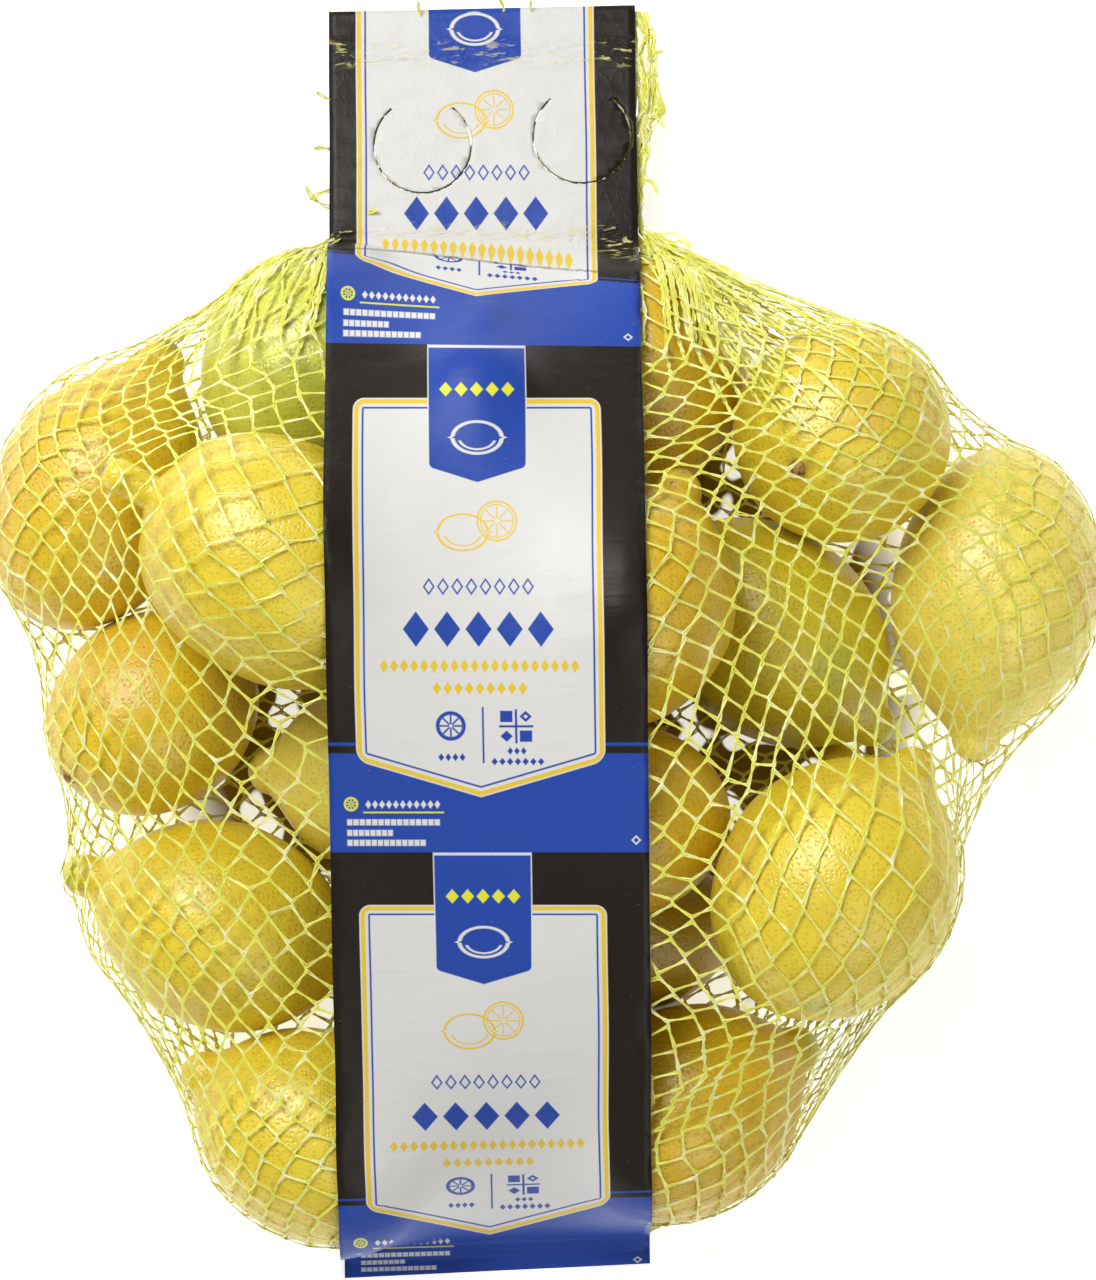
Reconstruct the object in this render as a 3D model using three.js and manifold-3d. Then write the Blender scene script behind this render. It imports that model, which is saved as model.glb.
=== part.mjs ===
// A net of lemons: a knitted tube net stretched over a heap of lemons, between two bands of
// printed film that are welded over the gathered net at the head and again at the foot.
// Millimetres. The pack lies on its back: +Z is up and +Y runs towards the head.

import * as THREE from "three";
import { mergeVertices } from "three/addons/utils/BufferGeometryUtils.js";
import Module from "manifold-3d";

// ---- Driving dimensions ----------------------------------------------------------------

const BAND_WIDTH = 83.5;          // printed film, side to side
const BAND_MIDDLE_X = -16;        // the band lies left of the heap's middle
const BAND_SLANT = -0.0125;       // sideways run of the band for each millimetre of Y
const FILM_THICKNESS = 0.6;
const GAP = 0.3;                  // between neighbouring pieces

const HEAD_END = 172.5;           // free end of the head
const HEAD_BASE = 107;            // where the net spreads out from the head
const HEAD_BASE_HEIGHT = 18;      // the head slopes from this height down to the ground
const TONGUE_END = 171;           // gathered net inside the head
const TONGUE_HALF_BASE = 2.5;     // half its thickness at the base
const TONGUE_HALF_END = 0.7;      // and at the free end
const TONGUE_REACH_LEFT = 41;     // from the band's middle line
const TONGUE_REACH_RIGHT = 46;    // a bunched edge stands out past the film
const BACK_RISE_FROM = 80;        // the back film leaves the ground here, up to the head

const FOOT_WELD = -164;           // the net ends between the films here
const FOOT_FLAT = -168;           // from here on the two films lie on each other
const FOOT_END = -172.5;

const GRIP_RADIUS = 13.2;         // two C-shaped cuts through the head, each a grip hole's flap
const GRIP_CUT = 0.8;
const GRIP_PLACES = [[-34.1, 134.4], [9.2, 137.1]];
const GRIP_HINGE = [52, 130];     // degrees; the flap stays joined between these

const NET_COLUMNS = 72;
const NET_ROWS = 34;
const TONGUE_ROWS = 7;
const NET_INSET = 1.5;            // the net narrows to its flat ends just inside the film's folds
const NET_CLEARANCE = 0.5;        // net's surface above a lemon's peel
const NET_GROUND = 1.0;           // the net clears the back film under the heap
const NET_GROUND_REACH = [50, 62]; // from the band's middle: over the film, and on the ground
const HEAP_HALF_WIDTH = 185;      // the slack tube that is drawn tight over the heap
const HEAP_HALF_HEIGHT = 64;
const HEAP_MIDDLE_HEIGHT = 56;
const STRETCH_PASSES = 420;
const STRAND_STIFFNESS = 1;
const STRAND_STEP = 0.5;          // share of its way that a knot moves in one pass

const SINK_SHARE = 0.92;          // of the way from the taut net down to the fruit behind it
const SINK_LIMIT = 40;            // the deepest hollow that is followed
const SINK_FROM_BAND = [42, 50];  // from the band's middle: held up under the film, and free
const SINK_FACING = [0.15, 0.5];  // upward part of the net's normal: its sides stay taut
const SINK_FROM_MOUTH = [1, 5];   // rows
const SINK_SMOOTHING = 4;         // passes over the depths
const EASING_PASSES = 10;         // the strands even out what sank unevenly

const FILM_COLUMNS = 10;
const FILM_ROWS = 56;
const FOOT_ROWS = 4;
const HEAD_ROWS = 12;
const BACK_ROWS = 8;              // in the back film's rise, and again in its head
const FILM_PASSES = 600;
const FILM_CROSS_PULL = 0.15;     // share of the film's pull that runs across it
const FILM_LIFT = 1.2;            // film's middle above the net
const FILM_SLACK_HEIGHT = 125;    // the loose strip starts this high over the heap
const LEAST_FACING = 0.3;         // keeps a film point's lift short where the net faces sideways
const NEAR_COLUMN = 9;            // net points this far aside can touch a column of the film

const LEMON_NECK = 6;             // how far the nipple stands out of the round body
const NECK_RADIUS = 6.5;
const LEMON_GROUND = 1.6;
const SETTLE_PASSES = 240;
const SETTLE_FALL = 0.2;          // first pass's fall; it fades to nothing
const SETTLE_HOLD = 0.06;         // share of the way back to its place in each pass
const NEIGHBOUR_REACH = 90;

// Each lemon's middle, the way its nipple points (turn from +X, tilt up) and its size.
const LEMONS = [
  { at: [-118, 42, 30], turn: 65, tilt: 0, girth: 57, length: 84 },
  { at: [-104, -17, 28], turn: 38, tilt: -22, girth: 54, length: 68 },
  { at: [-93, -75, 30], turn: 160, tilt: 0, girth: 57, length: 81 },
  { at: [-61, -128, 30], turn: 152, tilt: 0, girth: 57, length: 76 },
  { at: [-64, 76, 31], turn: 65, tilt: 6, girth: 57, length: 70 },
  { at: [27, 74, 30], turn: 80, tilt: 10, girth: 55, length: 70 },
  { at: [119, 10, 30], turn: 262, tilt: 0, girth: 57, length: 86 },
  { at: [66, -3, 30], turn: 318, tilt: 0, girth: 56, length: 78 },
  { at: [37, -120, 31], turn: 29, tilt: 0, girth: 57, length: 76 },
  { at: [90, -52, 25], turn: 110, tilt: 0, girth: 46, length: 62 },
  { at: [-43, -36, 28], turn: 178, tilt: 0, girth: 53, length: 66 },
  { at: [14, -46, 58], turn: 185, tilt: 0, girth: 53, length: 70 },
  { at: [-14, 11, 29], turn: 70, tilt: 0, girth: 54, length: 66 },
  { at: [-25, -89, 27], turn: 90, tilt: 0, girth: 50, length: 66 },
  { at: [25, -83, 23], turn: 10, tilt: 0, girth: 44, length: 58 },
  { at: [79, 53, 46], turn: 38, tilt: -58, girth: 59, length: 68 },
  { at: [-18, 61, 52], turn: 85, tilt: 0, girth: 50, length: 64 },
  { at: [-76, 24, 70], turn: 152, tilt: 6, girth: 65, length: 88 },
  { at: [23, 8, 70], turn: 68, tilt: 0, girth: 55, length: 72 },
  { at: [76, -64, 74], turn: 57, tilt: 0, girth: 62, length: 74 },
];

const NET_MATERIAL = { color: 0xd9c94f, roughness: 0.55, metalness: 0 };
const FRONT_FILM_MATERIAL = { color: 0x2a4ea8, roughness: 0.3, metalness: 0 };
const BACK_FILM_MATERIAL = { color: 0x2f2c2b, roughness: 0.3, metalness: 0 };

const { clamp, lerp, smoothstep, degToRad } = THREE.MathUtils;

// ---- The heap --------------------------------------------------------------------------

/** A lemon as balls along its axis: five that fill the round body, and one in the nipple. */
function lemonBalls({ girth, length }) {
  const halfBody = (length - LEMON_NECK) / 2;
  const focusSquared = halfBody ** 2 - (girth / 2) ** 2;
  const body = [-1, -0.5, 0, 0.5, 1].map((share) => {
    const along = (share * focusSquared) / halfBody;
    const radius = (girth / 2) * Math.sqrt(1 - along ** 2 / focusSquared);
    return { along: along - LEMON_NECK / 2, radius };
  });
  return [...body, { along: length / 2 - NECK_RADIUS, radius: NECK_RADIUS }];
}

/** The push that parts two lemons at their deepest overlap, or null where they are clear. */
function partingPush(lemon, other) {
  let deepest = 0;
  let push = null;
  for (const ball of lemon.balls) {
    const middle = lemon.middle.clone().addScaledVector(lemon.axis, ball.along);
    for (const otherBall of other.balls) {
      const apart = middle.clone().sub(other.middle).addScaledVector(other.axis, -otherBall.along);
      const overlap = ball.radius + otherBall.radius - apart.length();
      if (overlap > deepest) {
        deepest = overlap;
        push = apart.setLength(overlap / 2);
      }
    }
  }
  return push;
}

/** Lets the lemons sink and part until they lie on the ground and on each other. */
function settleLemons() {
  const heap = LEMONS.map((lemon) => {
    const tilt = degToRad(lemon.tilt);
    const turn = degToRad(lemon.turn);
    const axis = new THREE.Vector3(
      Math.cos(turn) * Math.cos(tilt), Math.sin(turn) * Math.cos(tilt), Math.sin(tilt));
    return { home: lemon.at, middle: new THREE.Vector3(...lemon.at), axis, balls: lemonBalls(lemon) };
  });
  for (let pass = 0; pass < SETTLE_PASSES; pass += 1) {
    for (const { middle, home } of heap) {
      middle.x = lerp(middle.x, home[0], SETTLE_HOLD);
      middle.y = lerp(middle.y, home[1], SETTLE_HOLD);
      middle.z -= SETTLE_FALL * (1 - pass / SETTLE_PASSES);
    }
    heap.forEach((lemon, index) => {
      for (const other of heap.slice(0, index)) {
        if (lemon.middle.distanceTo(other.middle) > NEIGHBOUR_REACH) continue;
        const push = partingPush(lemon, other);
        if (!push) continue;
        lemon.middle.add(push);
        other.middle.sub(push);
      }
    });
    for (const { middle, axis, balls } of heap) {
      const lowest = Math.min(...balls.map((ball) => middle.z + axis.z * ball.along - ball.radius));
      middle.z += Math.max(0, LEMON_GROUND - lowest);
    }
  }
  return heap.flatMap(({ middle, axis, balls }) => balls.map((ball) => ({
    middle: middle.clone().addScaledVector(axis, ball.along),
    radius: ball.radius,
  })));
}

// ---- The band's own lines --------------------------------------------------------------

/** The band's middle line at a place along the pack. */
function bandMiddle(y) {
  return BAND_MIDDLE_X + BAND_SLANT * y;
}

/** How far a place is along the head, from 0 at its base to 1 at its free end. */
function alongHead(y) {
  return (y - HEAD_BASE) / (HEAD_END - HEAD_BASE);
}

/** Half the thickness of the gathered net inside the head. */
function tongueHalf(y) {
  return lerp(TONGUE_HALF_BASE, TONGUE_HALF_END, alongHead(y));
}

/** Middle height of the gathered net inside the head. */
function tongueMiddle(y) {
  const endHeight = FILM_THICKNESS + GAP + TONGUE_HALF_END;
  return lerp(HEAD_BASE_HEIGHT, endHeight, alongHead(y));
}

/** Middle height of the back film: on the ground under the heap, and up into the head. */
function backFilmHeight(y) {
  const ground = FILM_THICKNESS / 2;
  const stack = FILM_THICKNESS / 2 + GAP;
  if (y >= HEAD_BASE) return tongueMiddle(y) - tongueHalf(y) - stack;
  const crest = tongueMiddle(HEAD_BASE) - TONGUE_HALF_BASE - stack;
  const rise = Math.max(0, (y - BACK_RISE_FROM) / (HEAD_BASE - BACK_RISE_FROM));
  return lerp(ground, crest, rise ** 2);
}

// ---- The net ---------------------------------------------------------------------------

/** The lowest that the net can lie: over the back film near the band, else on the ground. */
function netGround(x, y) {
  const aside = Math.abs(x - bandMiddle(y));
  const overFilm = NET_GROUND + backFilmHeight(y) - FILM_THICKNESS / 2;
  return overFilm * (1 - smoothstep(aside, ...NET_GROUND_REACH));
}

/** A point of the slack tube, drawn in to a flat mouth at the foot and at the head. */
function slackPoint(column, row) {
  const angle = (2 * Math.PI * column) / NET_COLUMNS;
  const share = row / NET_ROWS;
  const y = lerp(FOOT_WELD + NET_INSET, HEAD_BASE - NET_INSET, share);
  const swell = Math.max(0, Math.sin(Math.PI * share)) ** 0.4;
  const mouth = row < NET_ROWS / 2
    ? { height: NET_GROUND + TONGUE_HALF_END * 2, half: TONGUE_HALF_END * 2 }
    : { height: tongueMiddle(HEAD_BASE - NET_INSET), half: TONGUE_HALF_BASE };
  const reach = Math.cos(angle) > 0 && row > NET_ROWS / 2 ? TONGUE_REACH_RIGHT : TONGUE_REACH_LEFT;
  return new THREE.Vector3(
    lerp(bandMiddle(y), 0, swell) + Math.cos(angle) * lerp(reach, HEAP_HALF_WIDTH, swell),
    y,
    lerp(mouth.height, HEAP_MIDDLE_HEIGHT, swell)
      + Math.sin(angle) * lerp(mouth.half, HEAP_HALF_HEIGHT, swell),
  );
}

/** A point of the gathered net between the films of the head. */
function tonguePoint(column, step) {
  const angle = (2 * Math.PI * column) / NET_COLUMNS;
  const y = lerp(HEAD_BASE - NET_INSET, TONGUE_END, step / TONGUE_ROWS);
  const reach = Math.cos(angle) > 0 ? TONGUE_REACH_RIGHT : TONGUE_REACH_LEFT;
  return new THREE.Vector3(
    bandMiddle(y) + Math.cos(angle) * reach,
    y,
    tongueMiddle(y) + Math.sin(angle) * tongueHalf(y),
  );
}

/** Moves a point of the net out of the lemons and off the ground. */
function clearHeap(point, balls) {
  for (const { middle, radius } of balls) {
    const away = point.clone().sub(middle);
    if (away.length() < radius + NET_CLEARANCE) {
      point.copy(middle).add(away.setLength(radius + NET_CLEARANCE));
    }
  }
  point.z = Math.max(point.z, netGround(point.x, point.y));
}

/** Where a knot's strands pull it: a longer strand pulls harder, so that none stretches far. */
function strandPull(point, neighbours) {
  const pulled = new THREE.Vector3();
  let total = 0;
  for (const neighbour of neighbours) {
    const weight = point.distanceTo(neighbour) ** STRAND_STIFFNESS;
    pulled.addScaledVector(neighbour, weight);
    total += weight;
  }
  return pulled.divideScalar(total).lerp(point, 1 - STRAND_STEP);
}

/** Whether a row's knots hang free between the mouths at the foot and at the head. */
function isFree(row) {
  return row > 0 && row < NET_ROWS;
}

/** The rings after one pass of the strands' pull. */
function pulledRings(rings, balls) {
  return rings.map((ring, row) => ring.map((point, column) => {
    if (!isFree(row)) return point;
    const pulled = strandPull(point, [
      ring[(column + 1) % NET_COLUMNS],
      ring[(column + NET_COLUMNS - 1) % NET_COLUMNS],
      rings[row - 1][column],
      rings[row + 1][column],
    ]);
    clearHeap(pulled, balls);
    return pulled;
  }));
}

/** The rings of the net, from the foot to the head's free end, pulled tight over the heap. */
function stretchNet(balls) {
  let rings = Array.from({ length: NET_ROWS + 1 }, (_, row) =>
    Array.from({ length: NET_COLUMNS }, (_, column) => slackPoint(column, row)));
  for (let pass = 0; pass < STRETCH_PASSES; pass += 1) rings = pulledRings(rings, balls);
  const tongue = Array.from({ length: TONGUE_ROWS }, (_, step) =>
    Array.from({ length: NET_COLUMNS }, (_, column) => tonguePoint(column, step + 1)));
  return [...rings, ...tongue];
}

/** The way out of the net at a knot. */
function netNormal(rings, row, column) {
  const before = rings[row][(column + NET_COLUMNS - 1) % NET_COLUMNS];
  const round = rings[row][(column + 1) % NET_COLUMNS].clone().sub(before);
  const along = rings[row + 1][column].clone().sub(rings[row - 1][column]);
  return along.cross(round).normalize();
}

/** The way from a point of the net to the fruit behind it. */
function depthToFruit(point, inward, balls) {
  let depth = SINK_LIMIT;
  for (const { middle, radius } of balls) {
    const offset = middle.clone().sub(point);
    const along = offset.dot(inward);
    const halfChordSquared = (radius + NET_CLEARANCE) ** 2 - (offset.lengthSq() - along ** 2);
    if (along > 0 && halfChordSquared > 0) depth = Math.min(depth, along - Math.sqrt(halfChordSquared));
  }
  return Math.max(0, depth);
}

/** How far the solid sinks at a knot: not under the film, nor at the sides and the mouths. */
function sinkDepth(rings, row, column, balls) {
  const point = rings[row][column];
  const normal = netNormal(rings, row, column);
  const freedom = smoothstep(Math.abs(point.x - bandMiddle(point.y)), ...SINK_FROM_BAND)
    * smoothstep(normal.z, ...SINK_FACING)
    * smoothstep(Math.min(row, NET_ROWS - row), ...SINK_FROM_MOUTH);
  return SINK_SHARE * freedom * depthToFruit(point, normal.negate(), balls);
}

/** The rings sunk into the hollows between the lemons, which show through the open net. */
function sinkIntoHollows(rings, balls) {
  let depths = rings.map((ring, row) => ring.map((_, column) =>
    (isFree(row) ? sinkDepth(rings, row, column, balls) : 0)));
  for (let pass = 0; pass < SINK_SMOOTHING; pass += 1) {
    depths = depths.map((ring, row) => ring.map((depth, column) => {
      if (!isFree(row)) return 0;
      const beside = ring[(column + 1) % NET_COLUMNS] + ring[(column + NET_COLUMNS - 1) % NET_COLUMNS]
        + depths[row - 1][column] + depths[row + 1][column];
      return (depth + beside / 4) / 2;
    }));
  }
  let sunkRings = rings.map((ring, row) => ring.map((point, column) => {
    if (!isFree(row)) return point;
    const sunk = point.clone().addScaledVector(netNormal(rings, row, column), -depths[row][column]);
    clearHeap(sunk, balls);
    return sunk;
  }));
  for (let pass = 0; pass < EASING_PASSES; pass += 1) sunkRings = pulledRings(sunkRings, balls);
  return sunkRings;
}

/** Triangles that close a flat ring of vertices, its upper half stitched to its lower half. */
function mouthTriangles(first, flipped) {
  const triangles = [];
  const half = NET_COLUMNS / 2;
  const add = (a, b, c) => triangles.push(first + a, first + (flipped ? c : b), first + (flipped ? b : c));
  for (let column = 0; column < half; column += 1) {
    const below = (NET_COLUMNS - column) % NET_COLUMNS;
    const nextBelow = NET_COLUMNS - column - 1;
    if (column > 0) add(column, column + 1, below);
    if (column < half - 1) add(below, column + 1, nextBelow);
  }
  return triangles;
}

/** The net as one closed solid. */
function netGeometry(rings) {
  const positions = rings.flatMap((ring) => ring.flatMap((point) => point.toArray()));
  const indices = [];
  for (let row = 0; row < rings.length - 1; row += 1) {
    for (let column = 0; column < NET_COLUMNS; column += 1) {
      const a = row * NET_COLUMNS + column;
      const b = row * NET_COLUMNS + ((column + 1) % NET_COLUMNS);
      indices.push(a, a + NET_COLUMNS, b, b, a + NET_COLUMNS, b + NET_COLUMNS);
    }
  }
  indices.push(...mouthTriangles(0, false));
  indices.push(...mouthTriangles((rings.length - 1) * NET_COLUMNS, true));
  return indexedGeometry(positions, indices);
}

// ---- The films -------------------------------------------------------------------------

/** A geometry from plain lists of coordinates and vertex numbers. */
function indexedGeometry(positions, indices) {
  const geometry = new THREE.BufferGeometry();
  geometry.setAttribute("position", new THREE.Float32BufferAttribute(positions, 3));
  geometry.setIndex(indices);
  return geometry;
}

/** The net's outer points with their normals, in one list for each column of the film. */
function netUnderFilm(rings) {
  const points = [];
  for (let row = 1; row < NET_ROWS; row += 1) {
    for (let column = 0; column <= NET_COLUMNS / 2; column += 1) {
      points.push({ place: rings[row][column], normal: netNormal(rings, row, column) });
    }
  }
  return Array.from({ length: FILM_COLUMNS + 1 }, (_, column) => points.filter(({ place }) =>
    Math.abs(place.x - filmX(column, place.y)) < NEAR_COLUMN));
}

/** Lifts a point of the film off the net, without moving it sideways. */
function liftOffNet(point, netPoints) {
  let nearest = null;
  let least = Infinity;
  for (const candidate of netPoints) {
    const distance = candidate.place.distanceToSquared(point);
    if (distance < least) {
      least = distance;
      nearest = candidate;
    }
  }
  const { place, normal } = nearest;
  const height = point.clone().sub(place).dot(normal);
  if (height >= FILM_LIFT) return;
  const facing = Math.max(LEAST_FACING, normal.y ** 2 + normal.z ** 2);
  point.y += (normal.y * (FILM_LIFT - height)) / facing;
  point.z += (normal.z * (FILM_LIFT - height)) / facing;
}

/** Middle height of the front film where it is held: over the head and over the foot flap. */
function heldFrontHeight(y) {
  const stack = FILM_THICKNESS / 2 + GAP;
  if (y >= HEAD_BASE) return tongueMiddle(y) + tongueHalf(y) + stack;
  const flat = FILM_THICKNESS * 1.5 + GAP;
  const overWeld = NET_GROUND + TONGUE_HALF_END * 4 + stack;
  return lerp(flat, overWeld, smoothstep(y, FOOT_FLAT, FOOT_WELD));
}

/** Sideways place of a column of the film. */
function filmX(column, y) {
  return bandMiddle(y) + BAND_WIDTH * (column / FILM_COLUMNS - 0.5);
}

/** Rows of the front film: flat on the foot flap, slack over the heap, laid on the head. */
function slackFilmGrid() {
  const stretches = [
    [FOOT_END, FOOT_WELD, FOOT_ROWS], [FOOT_WELD, HEAD_BASE, FILM_ROWS], [HEAD_BASE, HEAD_END, HEAD_ROWS]];
  const rows = stretches.flatMap(([from, to, count]) =>
    Array.from({ length: count }, (_, step) => lerp(from, to, step / count)));
  return [...rows, HEAD_END].map((y) => {
    const held = y <= FOOT_WELD || y >= HEAD_BASE;
    const z = held ? heldFrontHeight(y) : FILM_SLACK_HEIGHT;
    return Array.from({ length: FILM_COLUMNS + 1 }, (_, column) =>
      Object.assign(new THREE.Vector3(filmX(column, y), y, z), { held }));
  });
}

/** The front film's middle surface: a taut strip laid over the net between head and foot. */
function frontFilmGrid(netRings) {
  const netPoints = netUnderFilm(netRings);
  const grid = slackFilmGrid();
  for (let pass = 0; pass < FILM_PASSES; pass += 1) {
    for (let j = 1; j < grid.length - 1; j += 1) {
      if (grid[j][0].held) continue;
      for (let i = 0; i <= FILM_COLUMNS; i += 1) {
        const point = grid[j][i];
        const along = grid[j - 1][i].clone().lerp(grid[j + 1][i], 0.5);
        const across = grid[j][Math.max(i - 1, 0)].clone().lerp(grid[j][Math.min(i + 1, FILM_COLUMNS)], 0.5);
        point.y = lerp(along.y, across.y, FILM_CROSS_PULL);
        point.z = lerp(along.z, across.z, FILM_CROSS_PULL);
        liftOffNet(point, netPoints[i]);
        point.x = filmX(i, point.y);
      }
    }
  }
  return grid;
}

/** The back film's middle surface. */
function backFilmGrid() {
  const rows = [FOOT_END, -60, BACK_RISE_FROM];
  for (const [from, to] of [[BACK_RISE_FROM, HEAD_BASE], [HEAD_BASE, HEAD_END]]) {
    for (let step = 1; step <= BACK_ROWS; step += 1) rows.push(lerp(from, to, step / BACK_ROWS));
  }
  return rows.map((y) => [-0.5, 0, 0.5].map((side) =>
    new THREE.Vector3(bandMiddle(y) + BAND_WIDTH * side, y, backFilmHeight(y))));
}

/** A thin closed slab around a grid of points, half its thickness above and half below. */
function slabGeometry(grid, thickness) {
  const rowCount = grid.length;
  const columnCount = grid[0].length;
  const at = (j, i) => grid[clamp(j, 0, rowCount - 1)][clamp(i, 0, columnCount - 1)];
  const positions = [];
  for (const side of [1, -1]) {
    for (let j = 0; j < rowCount; j += 1) {
      for (let i = 0; i < columnCount; i += 1) {
        const across = at(j, i + 1).clone().sub(at(j, i - 1));
        const along = at(j + 1, i).clone().sub(at(j - 1, i));
        const normal = across.cross(along).normalize();
        positions.push(...at(j, i).clone().addScaledVector(normal, (side * thickness) / 2).toArray());
      }
    }
  }
  const layer = rowCount * columnCount;
  const indices = [];
  const quad = (a, b, c, d) => indices.push(a, b, c, a, c, d);
  for (let j = 0; j < rowCount - 1; j += 1) {
    for (let i = 0; i < columnCount - 1; i += 1) {
      const a = j * columnCount + i;
      const corners = [a, a + 1, a + 1 + columnCount, a + columnCount];
      quad(...corners);
      quad(...corners.map((corner) => corner + layer).reverse());
    }
  }
  const border = [];
  for (let i = 0; i < columnCount - 1; i += 1) border.push(i);
  for (let j = 0; j < rowCount - 1; j += 1) border.push(j * columnCount + columnCount - 1);
  for (let i = columnCount - 1; i > 0; i -= 1) border.push((rowCount - 1) * columnCount + i);
  for (let j = rowCount - 1; j > 0; j -= 1) border.push(j * columnCount);
  border.forEach((a, place) => {
    const b = border[(place + 1) % border.length];
    quad(a, a + layer, b + layer, b);
  });
  return indexedGeometry(positions, indices);
}

// ---- Cuts and assembly -----------------------------------------------------------------

/** A tall wall with the outline of one C-shaped grip cut. */
function gripCutGeometry([x, y]) {
  const from = degToRad(GRIP_HINGE[1]);
  const to = degToRad(GRIP_HINGE[0] + 360);
  const outline = new THREE.Shape();
  outline.absarc(x, y, GRIP_RADIUS + GRIP_CUT / 2, from, to, false);
  outline.absarc(x, y, GRIP_RADIUS - GRIP_CUT / 2, to, from, true);
  const settings = { depth: HEAD_BASE_HEIGHT * 3, bevelEnabled: false, curveSegments: 20 };
  return new THREE.ExtrudeGeometry(outline, settings)
    .translate(0, 0, -HEAD_BASE_HEIGHT);
}

const wasm = await Module();
wasm.setup();

/** A solid from a closed geometry. */
function solidOf(geometry) {
  const bare = geometry.clone();
  bare.deleteAttribute("normal");
  bare.deleteAttribute("uv");
  const merged = mergeVertices(bare, 1e-4);
  return new wasm.Manifold(new wasm.Mesh({
    numProp: 3,
    vertProperties: Float32Array.from(merged.attributes.position.array),
    triVerts: Uint32Array.from(merged.index.array),
  }));
}

/** The solid with both grip cuts made, as a geometry again. */
function withGripCuts(geometry) {
  const cut = GRIP_PLACES.reduce(
    (solid, place) => solid.subtract(solidOf(gripCutGeometry(place))), solidOf(geometry));
  const { vertProperties, triVerts } = cut.getMesh();
  return indexedGeometry(Array.from(vertProperties), Array.from(triVerts));
}

/** A named mesh with a finish of its own. */
function piece(name, geometry, finish) {
  const mesh = new THREE.Mesh(geometry, new THREE.MeshStandardMaterial(finish));
  mesh.name = name;
  mesh.geometry.computeVertexNormals();
  return mesh;
}

const fruit = settleLemons();
const tautNet = stretchNet(fruit);
const pack = new THREE.Group();
pack.add(
  piece("net_of_lemons", withGripCuts(netGeometry(sinkIntoHollows(tautNet, fruit))), NET_MATERIAL),
  piece("film_front", withGripCuts(slabGeometry(frontFilmGrid(tautNet), FILM_THICKNESS)),
    FRONT_FILM_MATERIAL),
  piece("film_back", withGripCuts(slabGeometry(backFilmGrid(), FILM_THICKNESS)), BACK_FILM_MATERIAL),
);

// The origin is the middle of the pack's box, on the ground.
const middle = new THREE.Box3().setFromObject(pack).getCenter(new THREE.Vector3());
pack.position.set(-middle.x, -middle.y, 0);

export default pack;
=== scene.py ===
"""The looks of a net of lemons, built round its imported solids.

A knitted tube net holds a heap of lemons between two bands of printed film. Sizes are in
millimetres, measured from the heap's middle on the ground; meshes are in metres.
"""

import logging
import math
from dataclasses import dataclass, field
from enum import Enum
from functools import reduce
from typing import Any, Sequence

import bpy
import numpy as np
from bpy.types import Material, Node, NodeSocket, NodeTree, Object
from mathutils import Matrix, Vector, noise


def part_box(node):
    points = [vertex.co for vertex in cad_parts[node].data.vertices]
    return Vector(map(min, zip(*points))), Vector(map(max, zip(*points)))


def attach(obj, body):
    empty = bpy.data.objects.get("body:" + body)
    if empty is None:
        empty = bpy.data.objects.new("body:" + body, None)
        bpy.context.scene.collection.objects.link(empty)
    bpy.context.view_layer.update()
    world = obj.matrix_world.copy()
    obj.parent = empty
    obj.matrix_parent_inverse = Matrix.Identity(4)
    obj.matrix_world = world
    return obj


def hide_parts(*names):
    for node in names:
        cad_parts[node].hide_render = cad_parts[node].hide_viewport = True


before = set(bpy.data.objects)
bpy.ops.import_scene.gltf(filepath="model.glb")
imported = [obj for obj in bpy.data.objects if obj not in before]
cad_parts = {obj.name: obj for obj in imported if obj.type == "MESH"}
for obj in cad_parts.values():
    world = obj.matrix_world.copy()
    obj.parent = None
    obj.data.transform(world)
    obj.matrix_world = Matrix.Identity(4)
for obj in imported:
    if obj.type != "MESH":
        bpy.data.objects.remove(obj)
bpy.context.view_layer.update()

MM = 0.001
logger = logging.getLogger("net_of_lemons")


def srgb(red: float, green: float, blue: float) -> tuple[float, float, float, float]:
    """A display colour of 0 to 255 as the linear colour that shaders take.

    Args:
        red: Red, 0 to 255.
        green: Green, 0 to 255.
        blue: Blue, 0 to 255.

    Returns:
        Linear red, green, blue and an alpha of 1.
    """
    levels = [channel / 255 for channel in (red, green, blue)]
    linear = [v / 12.92 if v <= 0.04045 else ((v + 0.055) / 1.055) ** 2.4 for v in levels]
    return (*linear, 1.0)


def smoothstep(value: np.ndarray, low: float, high: float) -> np.ndarray:
    """0 below low, 1 above high, and a smooth rise between.

    Args:
        value: The numbers to shape.
        low: Where the rise starts.
        high: Where it ends.

    Returns:
        Numbers from 0 to 1.
    """
    share = np.clip((value - low) / (high - low), 0, 1)
    return share * share * (3 - 2 * share)


def unit(vectors: np.ndarray) -> np.ndarray:
    """The vectors at length 1."""
    return vectors / np.maximum(np.linalg.norm(vectors, axis=-1, keepdims=True), 1e-9)


def noise_at(points: np.ndarray, wavelength: float, offset: float = 0.0) -> np.ndarray:
    """Smooth noise at each point.

    Args:
        points: Places in millimetres, the last axis being x, y and z.
        wavelength: Size of the noise's lumps, in millimetres.
        offset: A shift that gives another pattern.

    Returns:
        Numbers from about -1 to 1, one for each point.
    """
    places = points.reshape(-1, 3) / wavelength + offset
    return np.array([noise.noise(place) for place in places.tolist()]).reshape(points.shape[:-1])


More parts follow.
